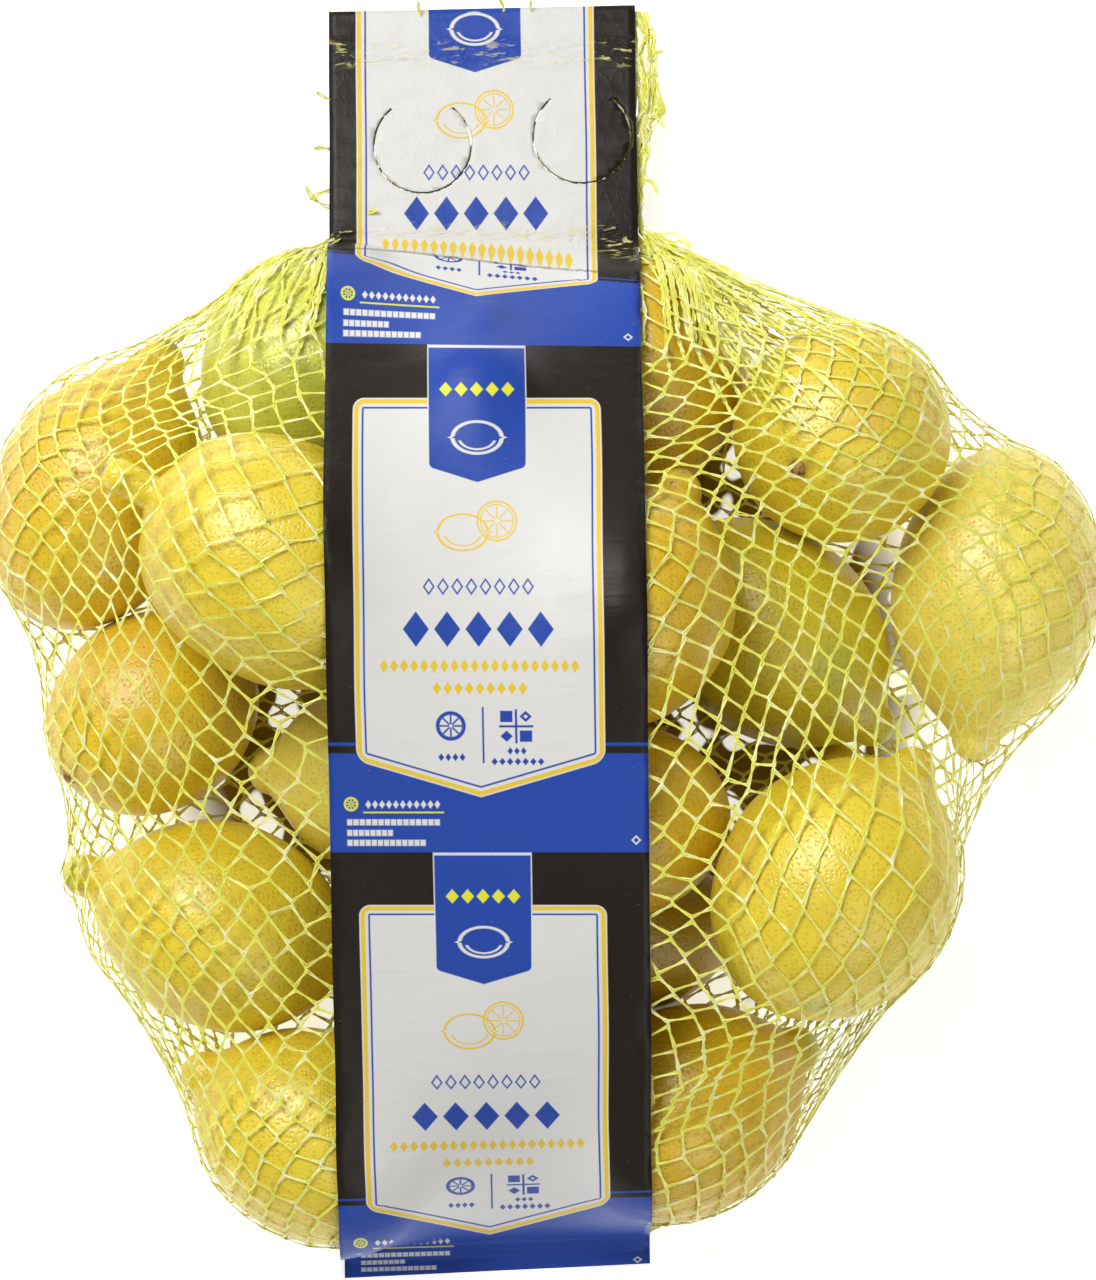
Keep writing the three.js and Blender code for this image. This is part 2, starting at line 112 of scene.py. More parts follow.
def through(points: np.ndarray, steps: int) -> np.ndarray:
    """A smooth line through the points along the first axis.

    Args:
        points: The points that the line passes through.
        steps: How many stretches each gap is split into.

    Returns:
        The finer points, the given ones among them.
    """
    ends = np.concatenate([2 * points[:1] - points[1:2], points, 2 * points[-1:] - points[-2:-1]])
    before, start, stop, after = ends[:-3], ends[1:-2], ends[2:-1], ends[3:]
    pieces = []
    for step in range(steps):
        t = step / steps
        pieces.append(0.5 * (2 * start + (stop - before) * t
                             + (2 * before - 5 * start + 4 * stop - after) * t**2
                             + (3 * start - before - 3 * stop + after) * t**3))
    fine = np.stack(pieces, axis=1).reshape((-1,) + points.shape[1:])
    return np.concatenate([fine, points[-1:]])


# ---- Nodes ----


class Field:
    """A number that changes from place to place, as a node's output, with the usual signs."""

    def __init__(self, graph: "Graph", socket: NodeSocket) -> None:
        """Keeps the graph and the socket that gives the number."""
        self.graph = graph
        self.socket = socket

    def joined(self, operation: str, *others: Any) -> "Field":
        """This number put through a Math node with others."""
        return self.graph.math(operation, self, *others)

    def __add__(self, other: Any) -> "Field":
        """The sum."""
        return self.joined("ADD", other)

    def __sub__(self, other: Any) -> "Field":
        """The difference."""
        return self.joined("SUBTRACT", other)

    def __rsub__(self, other: Any) -> "Field":
        """The difference from a plain number."""
        return self.graph.math("SUBTRACT", other, self)

    def __mul__(self, other: Any) -> "Field":
        """The product."""
        return self.joined("MULTIPLY", other)

    def __truediv__(self, other: Any) -> "Field":
        """The quotient."""
        return self.joined("DIVIDE", other)

    def __abs__(self) -> "Field":
        """The size without its sign."""
        return self.joined("ABSOLUTE")

    def least(self, other: Any) -> "Field":
        """The smaller of the two."""
        return self.joined("MINIMUM", other)

    def most(self, other: Any) -> "Field":
        """The larger of the two."""
        return self.joined("MAXIMUM", other)

    def rise(self, low: float, high: float) -> "Field":
        """0 at low and 1 at high, straight between them; high may be below low."""
        return self.graph.math("MULTIPLY_ADD", self, 1 / (high - low), -low / (high - low), clamp=True)

    def wrap(self, high: float, low: float) -> "Field":
        """The number brought between low and high by whole repeats."""
        return self.joined("WRAP", high, low)

    def hypot(self, other: "Field") -> "Field":
        """The distance that has the two numbers as its sides."""
        return (self * self + other * other).joined("SQRT")

    def off(self, middle: float, half: float) -> "Field":
        """Distance from a strip of that middle and half width, below 0 inside it."""
        return abs(self - middle) - half


class Graph:
    """Short forms for adding linked nodes to one node tree."""

    def __init__(self, tree: NodeTree) -> None:
        """Keeps the tree that the nodes go into."""
        self.tree = tree

    def plug(self, target: NodeSocket, value: Any) -> None:
        """Links a field or socket to an input, or sets the input to a plain value.

        Args:
            target: The input.
            value: A Field, a socket, a number, a colour or a vector.
        """
        if isinstance(value, Field):
            value = value.socket
        if isinstance(value, NodeSocket):
            self.tree.links.new(value, target)
        else:
            target.default_value = value

    def node(self, kind: str, inputs: dict[str | int, Any] | None = None, **settings: Any) -> Node:
        """Adds a node.

        Args:
            kind: The node's type name.
            inputs: Values for its inputs, by name or number.
            **settings: Properties of the node.

        Returns:
            The new node.
        """
        node = self.tree.nodes.new(kind)
        for name, value in settings.items():
            setattr(node, name, value)
        self.fill(node, inputs or {})
        return node

    def fill(self, node: Node, inputs: dict[str | int, Any]) -> None:
        """Links or sets inputs of a node, by name or number."""
        for name, value in inputs.items():
            self.plug(node.inputs[name], value)

    def math(self, operation: str, *values: Any, clamp: bool = False) -> Field:
        """Adds a Math node.

        Args:
            operation: The node's operation.
            *values: Its inputs in order.
            clamp: Keeps the result between 0 and 1.

        Returns:
            Its result.
        """
        node = self.node("ShaderNodeMath", dict(enumerate(values)), operation=operation, use_clamp=clamp)
        return Field(self, node.outputs[0])

    def mix(self, share: Any, first: Any, second: Any) -> NodeSocket:
        """Adds a node that mixes two colours.

        Args:
            share: How much of the second, 0 to 1.
            first: The colour at 0.
            second: The colour at 1.

        Returns:
            The mixed colour's socket.
        """
        inputs = {0: share, 6: first, 7: second}
        return self.node("ShaderNodeMix", inputs, data_type="RGBA").outputs[2]

    def noise(self, place: Any, scale: float, detail: float, **inputs: Any) -> Field:
        """Adds a noise pattern.

        Args:
            place: Where to read it.
            scale: Lumps in each unit of length.
            detail: Finer octaves.
            **inputs: Other inputs of the node by name.

        Returns:
            Its value, about 0.25 to 0.75.
        """
        node = self.node("ShaderNodeTexNoise", {"Vector": place, "Scale": scale, "Detail": detail, **inputs})
        return Field(self, node.outputs[0])

    def split(self, vector: Any) -> tuple[Field, Field, Field]:
        """The three numbers of a vector."""
        outputs = self.node("ShaderNodeSeparateXYZ", {0: vector}).outputs
        return Field(self, outputs[0]), Field(self, outputs[1]), Field(self, outputs[2])

    def vector(self, x: Any, y: Any, z: Any = 0.0) -> NodeSocket:
        """A vector from three numbers."""
        return self.node("ShaderNodeCombineXYZ", {0: x, 1: y, 2: z}).outputs[0]

    def vector_math(self, operation: str, first: Any, second: Any) -> NodeSocket:
        """Adds a Vector Math node; the second value of SCALE is a plain number."""
        inputs = {0: first, 3 if operation == "SCALE" else 1: second}
        return self.node("ShaderNodeVectorMath", inputs, operation=operation).outputs[0]

    def place(self) -> NodeSocket:
        """Where a point of the surface lies, in metres."""
        return self.node("ShaderNodeTexCoord").outputs["Object"]

    def painted(self, name: str, output: str) -> NodeSocket:
        """An attribute of the surface, for a material."""
        return self.node("ShaderNodeAttribute", attribute_name=name).outputs[output]

    def named(self, name: str, kind: str) -> NodeSocket:
        """An attribute of the points, for Geometry Nodes."""
        node = self.node("GeometryNodeInputNamedAttribute", {"Name": name}, data_type=kind)
        return next(output for output in node.outputs if output.enabled)

    def bump(self, height: Any, distance: float, strength: float, under: Any = None) -> NodeSocket:
        """Adds a Bump node.

        Args:
            height: The relief, 0 to 1.
            distance: Depth of a relief of 1, in metres.
            strength: Share of the effect.
            under: A normal that the relief is laid over.

        Returns:
            The normal.
        """
        inputs = {"Height": height, "Distance": distance, "Strength": strength}
        if under is not None:
            inputs["Normal"] = under
        return self.node("ShaderNodeBump", inputs).outputs[0]


def new_material(name: str) -> tuple[Material, Graph, Node]:
    """A node material with its main shader in place.

    Args:
        name: The material's name.

    Returns:
        The material, a graph on its tree, and its Principled BSDF.
    """
    material = bpy.data.materials.new(name)
    material.use_nodes = True
    return material, Graph(material.node_tree), material.node_tree.nodes["Principled BSDF"]


def new_group(name: str, kind: str, inputs: dict[str, str], outputs: dict[str, str]) -> NodeTree:
    """A node group with its sockets in place.

    Args:
        name: The group's name.
        kind: The tree's type name.
        inputs: Forms of its inputs by name, such as Float.
        outputs: Forms of its outputs by name.

    Returns:
        The group.
    """
    tree = bpy.data.node_groups.new(name, kind)
    for side, sockets in (("INPUT", inputs), ("OUTPUT", outputs)):
        for socket, form in sockets.items():
            tree.interface.new_socket(socket, in_out=side, socket_type=f"NodeSocket{form}")
    return tree


# ---- Finishes ----


class Stain(Enum):
    """What a lemon's peel is marked with, and the channel of the stain attribute that holds it."""

    GREEN = 0
    BROWN = 1
    BLUSH = 2


@dataclass(frozen=True)
class PeelFinish:
    """Waxy lemon peel with sunken oil pores, in each lemon's own tone."""

    green: tuple = srgb(192, 198, 62)
    brown: tuple = srgb(112, 78, 30)
    blush: tuple = srgb(232, 192, 84)
    stain_shares: tuple[float, float, float] = (0.8, 1.0, 0.55)
    pore_pitch: float = 1.25 * MM
    pore_depth: float = 0.14 * MM
    pore_edge: float = 0.46
    pore_bottom: float = 0.14
    pore_share: float = 0.75
    pore_evenness: float = 0.75
    mottle_size: float = 14 * MM
    wave_size: float = 2.4 * MM
    wave_depth: float = 0.6 * MM
    glow: float = 0.12
    glow_reach: tuple[float, float, float] = (1.0, 0.6, 0.12)
    glow_depth: float = 3 * MM
    shine: float = 0.85

    def material(self) -> Material:
        """Builds the peel's material."""
        material, graph, shader = new_material("lemon_peel")
        place = graph.place()
        mottle = graph.noise(place, 1 / self.mottle_size, 3)
        fine = graph.noise(place, 6 / self.mottle_size, 3)
        pores = graph.node("ShaderNodeTexVoronoi", {
            "Vector": place, "Scale": 1 / self.pore_pitch, "Randomness": self.pore_evenness})
        pit = Field(graph, pores.outputs["Distance"]).rise(self.pore_edge, self.pore_bottom)
        colour = graph.node("ShaderNodeHueSaturation", {
            "Color": graph.painted("tone", "Color"), "Value": mottle * 0.2 + fine * 0.08 + 0.86,
            "Hue": mottle * 0.02 + 0.49}).outputs[0]
        patches = (mottle + fine) * 0.9 - 1.0
        stains = graph.split(graph.painted("stain", "Vector"))
        for stain, tint, share in zip(stains, (self.green, self.brown, self.blush), self.stain_shares):
            colour = graph.mix((stain + patches * stain).most(0).least(1) * share, colour, tint)
        dots = graph.node("ShaderNodeHueSaturation", {
            "Color": colour, "Value": 0.78, "Saturation": 1.06, "Hue": 0.49}).outputs[0]
        waves = graph.bump(graph.noise(place, 1 / self.wave_size, 1), self.wave_depth, 0.3)
        graph.fill(shader, {
            "Base Color": graph.mix(pit * self.pore_share, colour, dots),
            "Roughness": fine * 0.22 + 0.24,
            "Normal": graph.bump(1 - pit, self.pore_depth, 0.7, waves),
            "Specular IOR Level": self.shine,
            "Subsurface Weight": self.glow,
            "Subsurface Radius": self.glow_reach,
            "Subsurface Scale": self.glow_depth,
        })
        return material


@dataclass(frozen=True)
class TapeFinish:
    """Pale polythene tape, whiter in patches that follow a noise pattern."""

    colour: tuple = srgb(230, 229, 94)
    milky: tuple = srgb(247, 246, 194)
    streak: float = 5 * MM
    milky_range: tuple[float, float] = (0.5, 0.74)
    shine: float = 0.7

    def material(self) -> Material:
        """Builds the net's material."""
        material, graph, shader = new_material("net_tape")
        milk = graph.noise(graph.place(), 1 / self.streak, 2)
        graph.fill(shader, {
            "Base Color": graph.mix(milk.rise(*self.milky_range), self.colour, self.milky),
            "Roughness": milk * 0.3 + 0.16,
            "Specular IOR Level": self.shine,
        })
        return material


@dataclass(frozen=True)
class StemFinish:
    """Dry brown wood of the button where a lemon hung."""

    colour: tuple = srgb(178, 138, 78)
    dark: tuple = srgb(116, 82, 40)
    grain_size: float = 1.2 * MM
    grain_depth: float = 0.3 * MM

    def material(self) -> Material:
        """Builds the stem button's material."""
        material, graph, shader = new_material("lemon_stem")
        grain = graph.noise(graph.place(), 1 / self.grain_size, 3)
        graph.fill(shader, {
            "Base Color": graph.mix(grain.rise(0.4, 0.6), self.dark, self.colour),
            "Roughness": 0.8,
            "Normal": graph.bump(grain, self.grain_depth, 0.6),
        })
        return material


class Motif(Enum):
    """Which small shapes a row of print is made of."""

    DIAMOND = 0
    RING = 1
    BAR = 2


@dataclass(frozen=True)
class PrintRow:
    """A row of like shapes across the band, in millimetres from the panel's middle and top."""

    left: float
    right: float
    top: float
    bottom: float
    count: int
    ink: tuple
    motif: Motif = Motif.DIAMOND
    stroke: float = 0.45


@dataclass(frozen=True)
class Canvas:
    """Draws shapes where the print is read, in millimetres from the panel's middle and top.

    A shape comes out as a mask, 1 inside it and 0 outside.
    """

    across: Field
    along: Field
    edge: float = 0.12
    shape_share: float = 0.42

    def inside(self, distance: Field) -> Field:
        """1 where a distance from an outline is below 0, with a soft edge."""
        return distance.rise(self.edge, -self.edge)

    def plate(self, half: float, top: float, side: float, tip: float, corner: float) -> Field:
        """Distance from an upright plate with a pointed foot.

        Args:
            half: Half its width.
            top: Where its straight top lies.
            side: Where its sides end.
            tip: Where its point lies.
            corner: Radius of its corners.

        Returns:
            The distance, below 0 inside.
        """
        slope = (tip - side) / half
        foot = (self.along + abs(self.across) * slope - tip) / math.hypot(1, slope)
        sideways = (abs(self.across) - (half - corner)).most(0)
        upward = ((top + corner) - self.along).most(foot + corner).most(0)
        return sideways.hypot(upward) - corner

    def row(self, row: PrintRow) -> Field:
        """A row of like shapes.

        Args:
            row: Which row.

        Returns:
            The mask.
        """
        pitch = (row.right - row.left) / row.count
        half_wide = pitch * (0.5 if row.count == 1 else self.shape_share)
        half_high = (row.bottom - row.top) / 2
        sideways = abs((self.across - row.left).wrap(pitch, 0.0) - pitch / 2)
        upward = abs(self.along - (row.top + row.bottom) / 2)
        ends = self.across.off((row.left + row.right) / 2, (row.right - row.left) / 2)
        if row.motif is Motif.BAR:
            shape = sideways - half_wide
        else:
            lean = math.hypot(1 / half_wide, 1 / half_high)
            shape = (sideways / half_wide + upward / half_high - 1) / lean
            if row.motif is Motif.RING:
                shape = shape.off(-row.stroke / 2, row.stroke / 2)
        return self.inside(shape.most(ends).most(upward - half_high))

    def slice(self, middle: tuple[float, float], radius: float, stroke: float) -> Field:
        """A cut citrus drawn in lines: a ring, a thinner ring inside it and spokes.

        Args:
            middle: Its middle.
            radius: Its outer radius.
            stroke: Width of its lines.

        Returns:
            The mask.
        """
        x, y = self.across - middle[0], self.along - middle[1]
        reach = x.hypot(y)
        flesh, pith, half_spoke = radius * 0.8, radius * 0.12, stroke / 3
        rim = reach.off(radius - stroke / 2, stroke / 2)
        turn = y.joined("ARCTAN2", x).wrap(math.pi / 8, -math.pi / 8)
        spoke = (abs(turn) * reach - half_spoke).most(reach - flesh).most(pith - reach)
        return self.inside(rim.least(reach.off(flesh, half_spoke)).least(spoke))

    def lemon(self, middle: tuple[float, float], half: tuple[float, float], stroke: float) -> Field:
        """A whole lemon drawn in lines: an oval with pointed ends, and a line of shade inside it.

        Args:
            middle: Its middle.
            half: Half its width and half its height.
            stroke: Width of its lines.

        Returns:
            The mask.
        """
        x, y = abs(self.across - middle[0]), self.along - middle[1]
        oval = (x / half[0]).hypot(y / half[1])
        ends = (x - half[0] * 1.14) / half[0] + abs(y) / (half[1] * 0.5) + 1
        outline = abs(oval.least(ends) - 1) * half[1] - stroke / 2
        shade = (abs(oval - 0.74) * half[1] - stroke / 3).most(half[1] * 0.2 - y)
        return self.inside(outline.least(shade))


@dataclass(frozen=True)
class PrintFinish:
    """The band's repeating print: fields of black and blue, and a white panel with a pointed foot.

    The print is read from the film's own map in millimetres: across from the band's middle, and
    along from a panel's top towards the foot.
    """

    black: tuple = srgb(34, 27, 20)
    blue: tuple = srgb(38, 72, 164)
    white: tuple = srgb(220, 219, 215)
    yellow: tuple = srgb(230, 196, 62)
    lime: tuple = srgb(226, 226, 60)
    # Pale yellow of the welds' crumples: partly net melted into the weld, partly painted glints.
    weld_fleck_and_glint: tuple = srgb(222, 214, 140)
    dust_tint: tuple = srgb(190, 188, 180)
    repeat: float = 133.6
    field_top: float = -13.9
    blue_from: float = 93.6
    pinstripe: float = 91.2
    pinstripe_half: float = 0.45
    panel_middle: float = -1.9
    panel_half: float = 32.5
    panel_side_end: float = 95.6
    panel_tip: float = 105.2
    corner: float = 3.0
    tab_half: float = 12.6
    tab_top: float = -16.9
    tab_side_end: float = 18.2
    tab_tip: float = 22.2
    tab_corner: float = 1.0
    tab_rim: float = 0.3
    top_line: float = 0.45
    top_line_half: float = 0.35
    fold: float = -47.1
    fold_depth: float = 14.2
    netting_pitch: float = 4.6
    rim_from: float = 35.5
    rim_width: float = 6.3
    rim_drop: float = 1.1 * MM
    weld_edge: float = 1.5
    stretch: tuple[float, float, float] = (0.55, 1.6, 1.0)
    crumple_size: float = 2.4 * MM
    crumple_depth: float = 0.9 * MM
    wrinkle_size: float = 9 * MM
    wrinkle_depth: float = 0.5 * MM
    smear_size: float = 22 * MM
    smear_depth: float = 1.6 * MM
    netting_depth: float = 0.12 * MM
    dust_size: float = 0.7 * MM
    dust_share: float = 0.35
    shine: float = 0.25

    def rows(self) -> list[PrintRow]:
        """The rows of small shapes on the panel and on the blue field below it."""
        ring, bar = Motif.RING, Motif.BAR
        return [
            PrintRow(-14.8, 14.8, 47.4, 52.0, 8, self.blue, ring, 0.42),
            PrintRow(-20.4, 20.2, 56.2, 65.6, 5, self.blue),
            PrintRow(-26.0, 26.2, 68.8, 72.4, 20, self.yellow),
            PrintRow(-12.4, 12.6, 74.8, 78.2, 9, self.yellow),
            PrintRow(0.5, 1.0, 81.4, 96.2, 1, self.blue, bar),
            PrintRow(-11.2, -3.8, 93.6, 95.7, 4, self.blue),
            PrintRow(6.8, 12.0, 92.0, 94.0, 3, self.blue),
            PrintRow(2.6, 16.6, 94.8, 96.8, 7, self.blue),
            PrintRow(4.9, 13.7, 86.2, 86.8, 1, self.blue, bar),
            PrintRow(9.0, 9.6, 82.0, 91.0, 1, self.blue, bar),
            PrintRow(5.2, 8.4, 82.4, 85.4, 1, self.blue, bar),
            PrintRow(10.2, 13.4, 82.4, 85.4, 1, self.blue, ring, 0.7),
            PrintRow(5.2, 8.4, 87.6, 90.6, 1, self.blue),
            PrintRow(10.2, 13.4, 87.6, 90.6, 1, self.blue, bar),
            PrintRow(-10.1, 10.1, -4.2, -0.4, 5, self.lime),
            PrintRow(-30.6, -10.6, 106.0, 108.2, 11, self.white),
            PrintRow(-31.0, -9.8, 109.0, 109.4, 1, self.lime, bar),
            PrintRow(-35.4, -10.8, 111.0, 112.6, 15, self.white, bar),
            PrintRow(-35.4, -23.2, 113.8, 115.4, 8, self.white, bar),
            PrintRow(-35.4, -14.6, 116.4, 118.0, 13, self.white, bar),
            PrintRow(39.0, 41.6, 115.2, 117.8, 1, self.white, ring, 0.4),
        ]

    def group(self) -> NodeTree:
        """Builds the print as a shader group with a place and a share of motifs in, and a colour out."""
        tree = new_group("band_print", "ShaderNodeTree", {"Place": "Vector", "Motifs": "Float"},
                         {"Colour": "Color"})
        graph = Graph(tree)
        source = graph.node("NodeGroupInput")
        band_across, along_all, _ = graph.split(source.outputs["Place"])
        motifs = Field(graph, source.outputs["Motifs"])
        across = band_across - self.panel_middle
        unfolded = along_all - along_all.joined("LESS_THAN", self.fold) * self.fold_depth
        along = unfolded.wrap(self.repeat + self.field_top, self.field_top)
        canvas = Canvas(across, along)
        panel = canvas.plate(self.panel_half, 0.0, self.panel_side_end, self.panel_tip, self.corner)
        tab = canvas.plate(self.tab_half, self.tab_top, self.tab_side_end, self.tab_tip, self.tab_corner)
        top_line = along.off(self.field_top + self.top_line, self.top_line_half)
        fields = [
            (self.blue_from - along, self.blue),
            (along.off(self.pinstripe, self.pinstripe_half), self.blue),
            (panel, self.white),
            (panel + 0.35, self.yellow),
            (panel + 1.5, self.white),
            (panel + 2.35, self.blue),
            (panel + 2.85, self.white),
            (tab - self.tab_rim, self.white),
            (tab, self.blue),
            ((abs(across) - self.tab_half).most(top_line), self.white),
        ]
        colour = self.black
        for distance, ink in fields:
            colour = graph.mix(canvas.inside(distance), colour, ink)
        drawings = [(canvas.row(row), row.ink) for row in self.rows()] + [
            (canvas.lemon((0.0, 10.4), (6.4, 4.2), 0.7), self.white),
            (canvas.lemon((-4.0, 35.4), (6.6, 4.8), 0.5), self.yellow),
            (canvas.slice((5.0, 32.4), 5.4, 0.5), self.yellow),
            (canvas.slice((-7.6, 86.4), 3.9, 0.7), self.blue),
            (canvas.slice((-34.2, 107.0), 1.9, 0.5), self.lime),
        ]
        for mask, ink in drawings:
            colour = graph.mix(mask * motifs, colour, ink)
        # Painted shadow: a dark line along the crease of the fold.
        painted_crease_shadow = along_all.off(self.fold + 0.25, 0.3).rise(0.3, -0.1)
        colour = graph.mix(painted_crease_shadow * motifs * 0.55, colour, self.black)
        graph.node("NodeGroupOutput", {"Colour": colour})
        return tree

    def material(self, name: str, group: NodeTree, motifs: float,
                 welds: Sequence[tuple[float, float]]) -> Material:
        """Builds a film's material.

        Args:
            name: The material's name.
            group: The print.
            motifs: 1 with the small shapes, 0 with the fields of colour alone.
            welds: First and last place along the film of each weld.

        Returns:
            The material.
        """
        material, graph, shader = new_material(name)
        print_place = graph.node("ShaderNodeUVMap", uv_map="print").outputs[0]
        plain = Field(graph, graph.painted("plain", "Fac"))
        printed = graph.node("ShaderNodeGroup", node_tree=group)
        graph.fill(printed, {"Place": print_place, "Motifs": (1 - plain) * motifs})
        across, along, _ = graph.split(print_place)
        weld = reduce(Field.most, [
            along.off((first + last) / 2, (last - first) / 2).rise(self.weld_edge, -self.weld_edge)
            for first, last in welds])
        place = graph.place()
        stretched = graph.vector_math("MULTIPLY", place, self.stretch)
        crumple = graph.noise(stretched, 1 / self.crumple_size, 3, Distortion=0.6)
        wrinkles = graph.noise(stretched, 1 / self.wrinkle_size, 4, Distortion=1.2)
        smear = graph.noise(place, 1 / self.smear_size, 3)
        dust = graph.noise(place, 1 / self.dust_size, 2).rise(0.74, 0.8)
        # The crumpled peaks of the welds are tinted pale yellow: partly net melted into the weld, partly
        # painted glints.
        pressed = weld * crumple.rise(0.56, 0.64) * (abs(across).rise(32, 34) * 0.35 + 0.5)
        colour = graph.mix(pressed, printed.outputs[0], self.weld_fleck_and_glint)
        wrinkled = graph.bump(wrinkles, self.wrinkle_depth, 0.4)
        waves = graph.bump(smear, self.smear_depth, 0.35, wrinkled)
        rim = (abs(across) - self.rim_from).rise(0, self.rim_width)
        below = along.rise(self.fold, self.fold + 6) * smear.rise(0.44, 0.6)
        curled = graph.bump(1 - rim * rim * below, self.rim_drop, 1.0, waves)
        netting = self.netting(graph, across, along) * along.rise(self.fold, self.fold - 4)
        pressed_net = graph.bump(netting * smear.rise(0.35, 0.65), self.netting_depth, 0.3, curled)
        graph.fill(shader, {
            "Base Color": graph.mix(dust * self.dust_share, colour, self.dust_tint),
            "Roughness": smear * 0.24 + 0.3,
            "Normal": graph.bump(crumple * weld, self.crumple_depth, 0.8, pressed_net),
            "Specular IOR Level": self.shine,
        })
        return material

    def netting(self, graph: Graph, across: Field, along: Field) -> Field:
        """The relief of the net that lies pressed under the film.

        Args:
            graph: Where the nodes go.
            across: Place across the band.
            along: Place along the band.

        Returns:
            1 on the strands and 0 between them.
        """
        bent = across + graph.noise(graph.vector(across, along), 0.12, 2) * 9
        half = self.netting_pitch / 2
        return reduce(Field.most, [
            abs((bent + along * lean).wrap(half, -half)).rise(0.7, 0.1) for lean in (0.42, -0.42)])


@dataclass(frozen=True)
class FloorFinish:
    """A plain table that glows white round the pack, with painted shade below it: a dark amber patch under
    the heap, broken by glowing spots of painted light.
    """

    colour: tuple = srgb(250, 250, 250)
    # Colour of the painted shade under the heap.
    shade: tuple = srgb(150, 118, 34)
    glow: float = 0.62
    glow_spot_size: float = 15 * MM
    glow_spot_range: tuple[float, float] = (0.55, 0.58)
    shade_middle: float = -0.012
    shade_half: tuple[float, float] = (0.1, 0.1)
    shade_edge: tuple[float, float] = (0.92, 1.08)

    def material(self) -> Material:
        """Builds the floor's material."""
        material, graph, shader = new_material("pale_floor")
        place = graph.place()
        x, y, _ = graph.split(place)
        reach = (x / self.shade_half[0]).hypot((y - self.shade_middle) / self.shade_half[1])
        glow_spots = graph.noise(place, 1 / self.glow_spot_size, 1).rise(*self.glow_spot_range)
        # Painted shade and painted light: dark amber inside the round patch under the heap, white and
        # glowing outside it and in the noise spots inside it.
        outside = reach.rise(*self.shade_edge).most(glow_spots)
        graph.fill(shader, {
            "Base Color": graph.mix(outside, self.shade, self.colour),
            "Roughness": 0.9,
            "Emission Color": (1, 1, 1, 1),
            "Emission Strength": outside * self.glow,
        })
        return material


# ---- The heap ----

# Millimetres; a lump is a size and a height, and a rib a count round the lemon, a share of the
# way along it, a spread and a height.
NECK = 6.0
NIPPLE_RADIUS = 6.5
NIPPLE_FILLET = 7.0
LUMPS = ((17, 0.5), (7, 0.16))
MEAN_LUMP = 0.45
RIBS = ((7, 0.72, 0.12, 0.14), (9, -0.93, 0.08, 0.16))


class Peel(Enum):
    """Tones of ripe and unripe peel. The brightest also paints light onto lemons that lie in shade, the
    darkest paints shade onto a lemon low in the heap, and the golden one is partly painted shade.
    """

    PALE = srgb(234, 210, 54)
    # A paler tone, partly the lemon's own and partly painted light on lemons that lie in shade in the heap.
    BRIGHT = srgb(246, 228, 100)
    RIPE = srgb(230, 198, 36)
    # A deeper tone, also used as painted shade on lemons that the band's hump shades.
    GOLDEN = srgb(220, 184, 30)
    OLIVE = srgb(214, 198, 42)
    GREEN = srgb(222, 224, 92)
    # A darker tone that paints shade onto a lemon lying low in a hollow of the heap.
    DEEP = srgb(180, 146, 20)


@dataclass(frozen=True)
class Spot:
    """A stained patch on a lemon.

    Its place is a share of the way from the stem's end at -1 to the nipple's at 1, and an angle
    round the axis from the side that faces up.
    """

    stain: Stain
    along: float
    around: float
    reach: float


